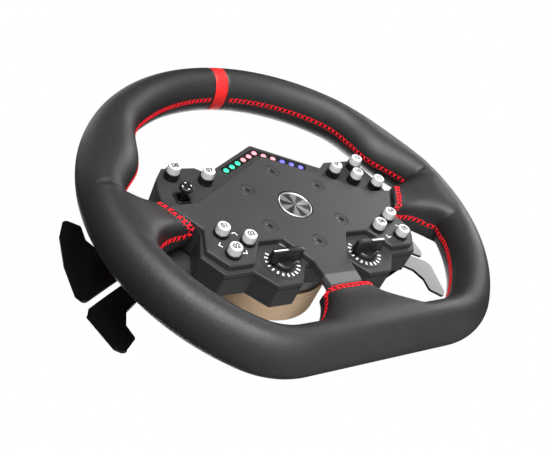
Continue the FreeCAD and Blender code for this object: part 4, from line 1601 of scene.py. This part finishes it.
# ---- buttons ---------------------------------------------------------------------------------------------
@dataclass
class Buttons:
    """White caps in black collars, each with a small number."""

    cap_height: float = 5.2 * MM
    cap_top: float = 4.3 * MM
    cap_base: float = 4.45 * MM
    collar_radius: float = 5.3 * MM
    collar_wall: float = 0.42 * MM
    collar_root: float = 2.0 * MM
    bore: float = 4.55 * MM
    number_size: float = 5.2 * MM
    number_weight: float = 0.16 * MM
    number_ink: float = 0.07 * MM
    number_sink: float = 0.04 * MM
    flange: float = 4.9 * MM
    plunger: float = 1.2 * MM

    def names(self) -> list[str]:
        """The frame's button nodes, in order."""
        return sorted(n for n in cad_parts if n.startswith("button_") and n not in
                      ("button_collars", "button_switches"))

    def cap(self, node: str) -> bpy.types.Object:
        """A softly domed cap for one button.

        Args:
            node: its CAD node.

        Returns:
            The cap.
        """
        low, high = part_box(node)
        middle = (low + high) / 2
        front = low.y
        rim = front + self.cap_height
        profile = rounded([
            (0.0, front + 0.12 * MM, 0), (self.cap_top * 0.6, front + 0.1 * MM, 0.6 * MM),
            (self.cap_top, front, 1.0 * MM), (self.cap_base, rim, 0.2 * MM),
            (self.cap_base, high.y - 3.5 * MM, 0.2 * MM), (self.flange, high.y - 3.4 * MM, 0.1 * MM),
            (self.flange, high.y - 2.5 * MM, 0.1 * MM), (self.plunger, high.y - 2.5 * MM, 0),
            (self.plunger, high.y, 0), (0.0, high.y, 0)], 5)
        return lathe(node + "_cap", profile, (middle.x, middle.z), CAP, 40)

    def number(self, node: str, digit: int) -> bpy.types.Object:
        """A printed number on a cap.

        Args:
            node: the button's CAD node.
            digit: the number.

        Returns:
            The print, a hair above the cap.
        """
        middle = centre_of(node)
        text = bpy.data.curves.new(node + "_number", "FONT")
        text.body = f"{digit:02d}"
        text.size = self.number_size
        text.align_x = "CENTER"
        text.align_y = "CENTER"
        text.extrude = self.number_ink
        text.offset = self.number_weight
        piece = bpy.data.objects.new(node + "_number", text)
        bpy.context.scene.collection.objects.link(piece)
        graph = bpy.context.evaluated_depsgraph_get()
        mesh = bpy.data.meshes.new_from_object(piece.evaluated_get(graph))
        bpy.data.objects.remove(piece)
        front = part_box(node)[0].y + self.number_sink
        mesh.transform(Matrix.Translation((middle.x, front, middle.z)) @
                       Matrix.Rotation(math.radians(90), 4, "X"))
        mesh.materials.clear()
        mesh.materials.append(DARK_INK.material())
        made = bpy.data.objects.new(node + "_number", mesh)
        bpy.context.scene.collection.objects.link(made)
        return made

    def collar_unit(self, height: float) -> bpy.types.Object:
        """One collar at the origin, its top at y = 0.

        Args:
            height: how far it stands above the surface.

        Returns:
            The collar.
        """
        root = self.bore + self.collar_wall
        foot = height + self.collar_root
        outline = rounded([
            (self.bore, foot, 0), (self.bore, 0.0, 0.3 * MM), (self.collar_radius - 0.2 * MM, 0.0, 0.3 * MM),
            (self.collar_radius, 0.5 * MM, 0.3 * MM), (self.collar_radius, height, 0.1 * MM),
            (root, height, 0), (root, foot, 0)])
        return lathe("collar_unit", outline, (0, 0), GLOSS_BLACK, 40, closed=True)

    def build(self) -> None:
        """Makes caps, numbers and collars and hands them to the frame."""
        upper, lower = [], []
        for digit, node in enumerate(self.names(), 1):
            put(self.cap(node), node, [node])
            put(self.number(node, digit), node)
            low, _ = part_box(node)
            middle = centre_of(node)
            rows = lower if "lower" in node else upper
            rows.append((middle.x, low.y + self.cap_height, middle.z))
        plate_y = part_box("faceplate")[0].y
        shell_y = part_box("front_housing")[0].y
        tall = repeat_on_points("collars_upper", upper, self.collar_unit(shell_y - upper[0][1]), GLOSS_BLACK)
        short = repeat_on_points("collars_lower", lower, self.collar_unit(plate_y - lower[0][1]), GLOSS_BLACK)
        put(tall, Body.WHEEL, ["button_collars"])
        put(short, Body.WHEEL)


# ---- thumb stick -----------------------------------------------------------------------------------------
@dataclass
class ThumbStick:
    """A round black cap with four small arrow marks, over a four-lobed boot."""

    lobe_reach: float = 6.6 * MM
    lobe_dip: float = 5.2 * MM
    lobes: int = 4
    mark_reach: float = 3.0 * MM
    mark_tip: float = 0.95 * MM
    mark_tail: float = 0.25 * MM
    ink: float = 0.1 * MM

    def build_cap(self, centre: Vector) -> bpy.types.Object:
        """The cap, softly domed.

        Args:
            centre: the middle of the stick.

        Returns:
            The cap.
        """
        low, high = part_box("stick_cap")
        radius = (high.x - low.x) / 2
        profile = rounded([(0.0, low.y + 0.25 * MM, 0), (radius * 0.6, low.y + 0.1 * MM, 0.8 * MM),
                           (radius - 0.1 * MM, low.y, 0.9 * MM), (radius, high.y - 0.5 * MM, 0.4 * MM),
                           (radius - 0.6 * MM, high.y, 0.2 * MM), (0.0, high.y, 0)], 5)
        return lathe("stick_round_cap", profile, (centre.x, centre.z), KNOB, 56)

    def build_marks(self, centre: Vector) -> bpy.types.Object:
        """Four arrowheads printed on the cap.

        Args:
            centre: the middle of the stick.

        Returns:
            The arrowheads.
        """
        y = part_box("stick_cap")[0].y + 0.07 * MM
        tip, tail = self.mark_tip, -self.mark_tail
        unit = outlined("arrow_unit", [(tip, 0), (tail, tip), (tail, -tip)], 0.0, self.ink, INK)
        turns = [math.radians(90 * k) for k in range(4)]
        places = [(centre.x + self.mark_reach * math.cos(t), y, centre.z + self.mark_reach * math.sin(t))
                  for t in turns]
        return repeat_on_points("stick_arrows", places, unit, INK, [-t for t in turns])

    def build_boot(self, centre: Vector) -> bpy.types.Object:
        """The four-lobed rubber boot round the stem.

        Args:
            centre: the middle of the stick.

        Returns:
            The boot.
        """
        low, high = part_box("stick_ring")
        segments = 96
        rows = ((high.y, 1.0), (high.y - 0.5 * MM, 1.0), (high.y - 0.9 * MM, 0.95), (low.y + 0.1 * MM, 0.86),
                (low.y + 0.5 * MM, 0.76), (low.y + 0.9 * MM, 0.7), (high.y, 0.7))
        verts, faces = [], []
        for y, share in rows:
            for k in range(segments):
                angle = 2 * math.pi * k / segments
                lobe = (math.cos(self.lobes * (angle - math.pi / 4)) + 1) / 2
                reach = share * (self.lobe_dip + (self.lobe_reach - self.lobe_dip) * lobe)
                verts.append((centre.x + reach * math.cos(angle), y, centre.z + reach * math.sin(angle)))
        for row in range(len(rows)):
            onward = (row + 1) % len(rows)
            for k in range(segments):
                after = (k + 1) % segments
                faces.append((row * segments + k, row * segments + after, onward * segments + after,
                              onward * segments + k))
        return new_piece("stick_boot", verts, faces, RUBBER)

    def build(self) -> None:
        """Makes cap, marks and boot and hands them to the frame."""
        centre = centre_of("stick_cap")
        put(self.build_cap(centre), Body.STICK, ["stick_cap"])
        put(self.build_marks(centre), Body.STICK)
        put(self.build_boot(centre), Body.WHEEL, ["stick_ring"])


# ---- encoder knobs ---------------------------------------------------------------------------------------
@dataclass
class Encoder:
    """A pointer knob over a ring of printed ticks."""

    side: Side
    skirt: float = 8.5 * MM
    bar_width: float = 5.2 * MM
    shaft_hold: float = 2.8 * MM
    ticks: int = 15
    tick_radius: float = 11.2 * MM
    tick_start: float = 133.0
    tick_end: float = 391.0
    tick_long: float = 1.2 * MM
    tick_wide: float = 0.62 * MM
    ink: float = 0.06 * MM
    scoop: float = 0.14
    scoop_reach: float = 5.0 * MM
    bar_square: float = 6.0
    bore: float = 3.05 * MM

    def build_knob(self) -> bpy.types.Object:
        """The skirt and its grip bar, whose flanks are scooped.

        Returns:
            The knob.
        """
        low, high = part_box("knob_" + self.side.word)
        middle = centre_of("knob_" + self.side.word)
        half = (high.x - low.x) / 2
        skirt = lathe("knob_" + self.side.word + "_pointer", rounded([
            (0.0, high.y - 3.4 * MM, 0), (self.skirt - 1.2 * MM, high.y - 3.2 * MM, 0.8 * MM),
            (self.skirt, high.y - 1.6 * MM, 0.7 * MM), (self.skirt, high.y - 0.2 * MM, 0.2 * MM),
            (self.skirt - 0.3 * MM, high.y, 0.1 * MM), (6.2 * MM, high.y, 0.1 * MM),
            (6.1 * MM, high.y - 2.2 * MM, 0), (self.bore, high.y - 2.2 * MM, 0),
            (self.bore, high.y - 2.9 * MM, 0), (0.0, high.y - 2.9 * MM, 0)]), (middle.x, middle.z), KNOB, 72)
        steps = 64
        levels = ((low.y, 0.60, 0.9), (low.y + 0.15 * MM, 0.82, 0.35), (low.y + 0.6 * MM, 0.92, 0.0),
                  (low.y + 2.2 * MM, 0.88, 0.0), (low.y + 4.2 * MM, 0.92, 0.0),
                  (high.y - 3.0 * MM, 1.3, -0.3))
        verts, faces = [], []
        for y, grow, back in levels:
            for k in range(steps):
                angle = 2 * math.pi * k / steps
                c, s = math.cos(angle), math.sin(angle)
                square = (abs(c) ** self.bar_square + abs(s) ** self.bar_square) ** (-1 / self.bar_square)
                x = c * square * (half - max(0.0, back) * MM)
                scoop = 1.0 - self.scoop * math.exp(-(x / self.scoop_reach) ** 2)
                z = s * square * self.bar_width / 2 * grow * scoop
                verts.append((middle.x + x, y, middle.z + z))
        for row in range(len(levels) - 1):
            for k in range(steps):
                after = (k + 1) % steps
                onward = (row + 1) * steps
                faces.append((row * steps + k, row * steps + after, onward + after, onward + k))
        faces.append(tuple(range(steps)))
        faces.append(tuple(range(len(verts) - steps, len(verts))))
        bar = new_piece("bar", verts, faces, KNOB)
        shape = bmesh.new()
        shape.from_mesh(skirt.data)
        shape.from_mesh(bar.data)
        shape.to_mesh(skirt.data)
        shape.free()
        bpy.data.objects.remove(bar)
        tidy(skirt, 35.0)
        return skirt

    def build_ticks(self) -> bpy.types.Object:
        """The white ticks of the dial.

        Returns:
            The ticks.
        """
        low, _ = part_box("dial_plates")
        middle = centre_of("knob_" + self.side.word)
        places, turns = [], []
        for k in range(self.ticks):
            share = k / (self.ticks - 1)
            angle = math.radians(self.tick_start + (self.tick_end - self.tick_start) * share)
            places.append((middle.x + self.tick_radius * math.cos(angle), low.y - 0.02 * MM,
                           middle.z + self.tick_radius * math.sin(angle)))
            turns.append(-angle)
        far, wide, narrow = self.tick_long, self.tick_wide, self.tick_wide * 0.8
        wedge = [(-far, -narrow), (far, -wide), (far, wide), (-far, narrow)]
        unit = outlined("tick_unit", wedge, 0.0, self.ink, INK)
        return repeat_on_points("ticks_" + self.side.word, places, unit, INK, turns)

    def build(self) -> None:
        """Makes the knob, its line and the ticks and hands them to the frame."""
        word = self.side.word
        body = "encoder_knob_" + word
        put(self.build_knob(), body, ["knob_" + word])
        low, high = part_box("knob_line_" + word)
        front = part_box("knob_" + word)[0].y
        line = outlined("pointer_line_" + word,
                        [(low.x, low.z), (high.x, low.z), (high.x, high.z), (low.x, high.z)],
                        front - 0.04 * MM, front + 0.06 * MM, INK)
        put(line, body, ["knob_line_" + word])
        put(self.build_ticks(), Body.WHEEL)
        node = "encoder_shaft_" + word
        low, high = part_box(node)
        middle = centre_of(node)
        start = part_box("knob_" + word)[1].y - self.shaft_hold
        radius = (high.x - low.x) / 2
        put(lathe("shaft_turned_" + word, [(0.0, start), (radius, start), (radius, high.y), (0.0, high.y)],
                  (middle.x, middle.z), STEEL, 48), body, [node])


# ---- quick release and paddles ---------------------------------------------------------------------------
@dataclass
class QuickRelease:
    """Turned hub with a grooved bronze collar and the spring that pushes it back."""

    groove: float = 0.5 * MM
    travel: float = 6.0 * MM
    bore: float = 42.8 * MM
    web_bore: float = 28.06 * MM
    web: float = 7.0 * MM

    def build_spring(self) -> None:
        """The collar's spring, eased and on a mesh of its own."""
        spring = eased_copy("collar_spring", "wound_spring", STEEL, 0.05 * MM)
        put(spring, Body.WHEEL, ["collar_spring"])
        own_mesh(spring)

    def build(self) -> None:
        """Makes the hub and collar and hands them to the frame."""
        low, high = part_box("release_collar")
        outer = high.x
        front, back = low.y, high.y
        outline = rounded([
            (self.bore, front, 0), (outer - 0.6 * MM, front, 0.3 * MM), (outer, front + 0.8 * MM, 0.3 * MM),
            (outer, front + 4.0 * MM, 0.2 * MM), (outer - self.groove, front + 4.5 * MM, 0.2 * MM),
            (outer - self.groove, front + 5.3 * MM, 0.2 * MM), (outer, front + 5.8 * MM, 0.2 * MM),
            (outer, back - 1.2 * MM, 0.4 * MM), (outer - 1.0 * MM, back, 0.4 * MM),
            (self.web_bore, back, 0.3 * MM), (self.web_bore, back - self.web, 0),
            (self.bore, back - self.web, 0)])
        put(lathe("bronze_collar", outline, (0, 0), BRONZE, 128, closed=True), Body.COLLAR,
            ["release_collar"])
        put(eased_copy("release_hub", "release_hub_turned", HUB), Body.WHEEL, ["release_hub"])
        self.build_spring()


@dataclass
class Paddles:
    """Four bowed paddles and their brackets."""

    blade_edge: float = 0.45 * MM
    bracket_edge: float = 0.5 * MM

    def build(self) -> None:
        """Eases the paddles' edges and dresses the brackets."""
        for side in Side:
            for level in ("upper", "lower"):
                node = f"paddle_{level}_{side.word}"
                blade = eased_copy(node, node + "_blade", PADDLE, self.blade_edge, 3)
                put(blade, node, [node])
            node = "paddle_bracket_" + side.word
            moulding = eased_copy(node, node + "_moulding", BRACKET, self.bracket_edge, 3)
            put(moulding, Body.WHEEL, [node])


# ---- CAD nodes kept as they are --------------------------------------------------------------------------
CARRIED = {
    "rim_armature": ALLOY, "rear_cover_screws": SCREW, "main_board": BOARD, "button_switches": SWITCH,
    "light_board": BOARD, "stick_case": SWITCH, "stick_yoke": SWITCH, "stick_stem": KNOB,
    "dial_plates": HOUSING, "encoder_nuts": STEEL, "encoder_bodies": STEEL, "locking_balls": STEEL,
    "contact_block": SWITCH, "contact_pins": GOLD, "paddle_pins": STEEL, "paddle_magnets": STEEL,
    "paddle_switches": SWITCH,
}


def dress_carried() -> None:
    """Gives every CAD node that stays its finish."""
    for node, finish in CARRIED.items():
        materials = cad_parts[node].data.materials
        materials.clear()
        materials.append(finish.material())
        log.info("carried %s as %s", node, finish.name)


# ---- studio ----------------------------------------------------------------------------------------------
@dataclass
class Studio:
    """Camera, soft lights, pale surroundings and floor."""

    camera: Point = (-0.3433, -0.4076, -0.3220)
    right: Point = (0.8155, -0.3604, -0.4528)
    down: Point = (-0.0752, 0.7098, -0.7004)
    forward: Point = (0.5738, 0.6052, 0.5518)
    lens: float = 54.59
    floor_z: float = -0.75

    def build_camera(self) -> None:
        """Sets the camera low on the driver's left, looking up at the wheel."""
        data = bpy.data.cameras.new("camera")
        data.lens = self.lens
        data.sensor_width = 36.0
        data.clip_start = 0.01
        eye = bpy.data.objects.new("camera", data)
        bpy.context.scene.collection.objects.link(eye)
        axes = Matrix((self.right, [-c for c in self.down], [-c for c in self.forward])).transposed().to_4x4()
        eye.matrix_world = Matrix.Translation(self.camera) @ axes
        bpy.context.scene.camera = eye

    def lamp(self, name: str, place: Point, size: float, power: float,
             aim: Point = (0.0, -0.05, 0.0)) -> None:
        """A square soft light.

        Args:
            name: its name.
            place: where it hangs.
            size: its side.
            power: in watts.
            aim: the point it faces.
        """
        data = bpy.data.lights.new(name, "AREA")
        data.size = size
        data.energy = power
        lamp = bpy.data.objects.new(name, data)
        bpy.context.scene.collection.objects.link(lamp)
        lamp.location = place
        lamp.visible_camera = False
        lamp.rotation_euler = (Vector(aim) - Vector(place)).to_track_quat("-Z", "Y").to_euler()

    def build_world(self) -> None:
        """Pale surroundings: white behind the wheel, softer where they light it."""
        world = bpy.data.worlds.new("surroundings")
        bpy.context.scene.world = world
        world.use_nodes = True
        world.node_tree.nodes.clear()
        bench = Bench(world.node_tree)
        seen = bench.add("ShaderNodeBackground", None, {"Color": (1.0, 1.0, 1.0, 1.0), "Strength": 1.0})
        soft = bench.add("ShaderNodeBackground", None, {"Color": (1.0, 1.0, 1.0, 1.0), "Strength": 0.06})
        path = bench.add("ShaderNodeLightPath")
        both = bench.add("ShaderNodeMixShader", None, {
            "Fac": path.outputs["Is Camera Ray"], 1: soft.outputs[0], 2: seen.outputs[0]})
        bench.add("ShaderNodeOutputWorld", None, {"Surface": both.outputs[0]})

    def build(self) -> None:
        """Sets the whole studio."""
        scene = bpy.context.scene
        scene.view_settings.view_transform = "Standard"
        self.build_camera()
        self.build_world()
        self.lamp("front_panel", (-0.3, -1.4, -0.1), 1.0, 42.0)
        self.lamp("side_panel", (1.31, -0.54, 0.60), 0.7, 9.0, (0.13, -0.03, -0.02))
        self.lamp("left_panel", (-1.3, -0.6, 0.1), 0.6, 1.0)
        self.lamp("top_panel", (0.0, 0.2, 1.3), 0.8, 2.5)
        self.lamp("back_panel", (0.45, 1.25, 0.75), 1.0, 16.0, (0.0, 0.0, 0.0))
        half = 2.5
        floor = new_piece("studio_floor_sheet", [(-half, -half, self.floor_z), (half, -half, self.floor_z),
                                                 (half, half, self.floor_z), (-half, half, self.floor_z)],
                          [(0, 1, 2, 3)], FLOOR)


def main() -> None:
    """Builds every sub-assembly in order."""
    logging.basicConfig(level=logging.INFO, format="%(message)s")
    Studio().build()
    dress_carried()
    Rim().build()
    Faceplate().build()
    Housing().build()
    Buttons().build()
    ThumbStick().build()
    for side in Side:
        Encoder(side).build()
    QuickRelease().build()
    Paddles().build()


if __name__ == "__main__":
    main()
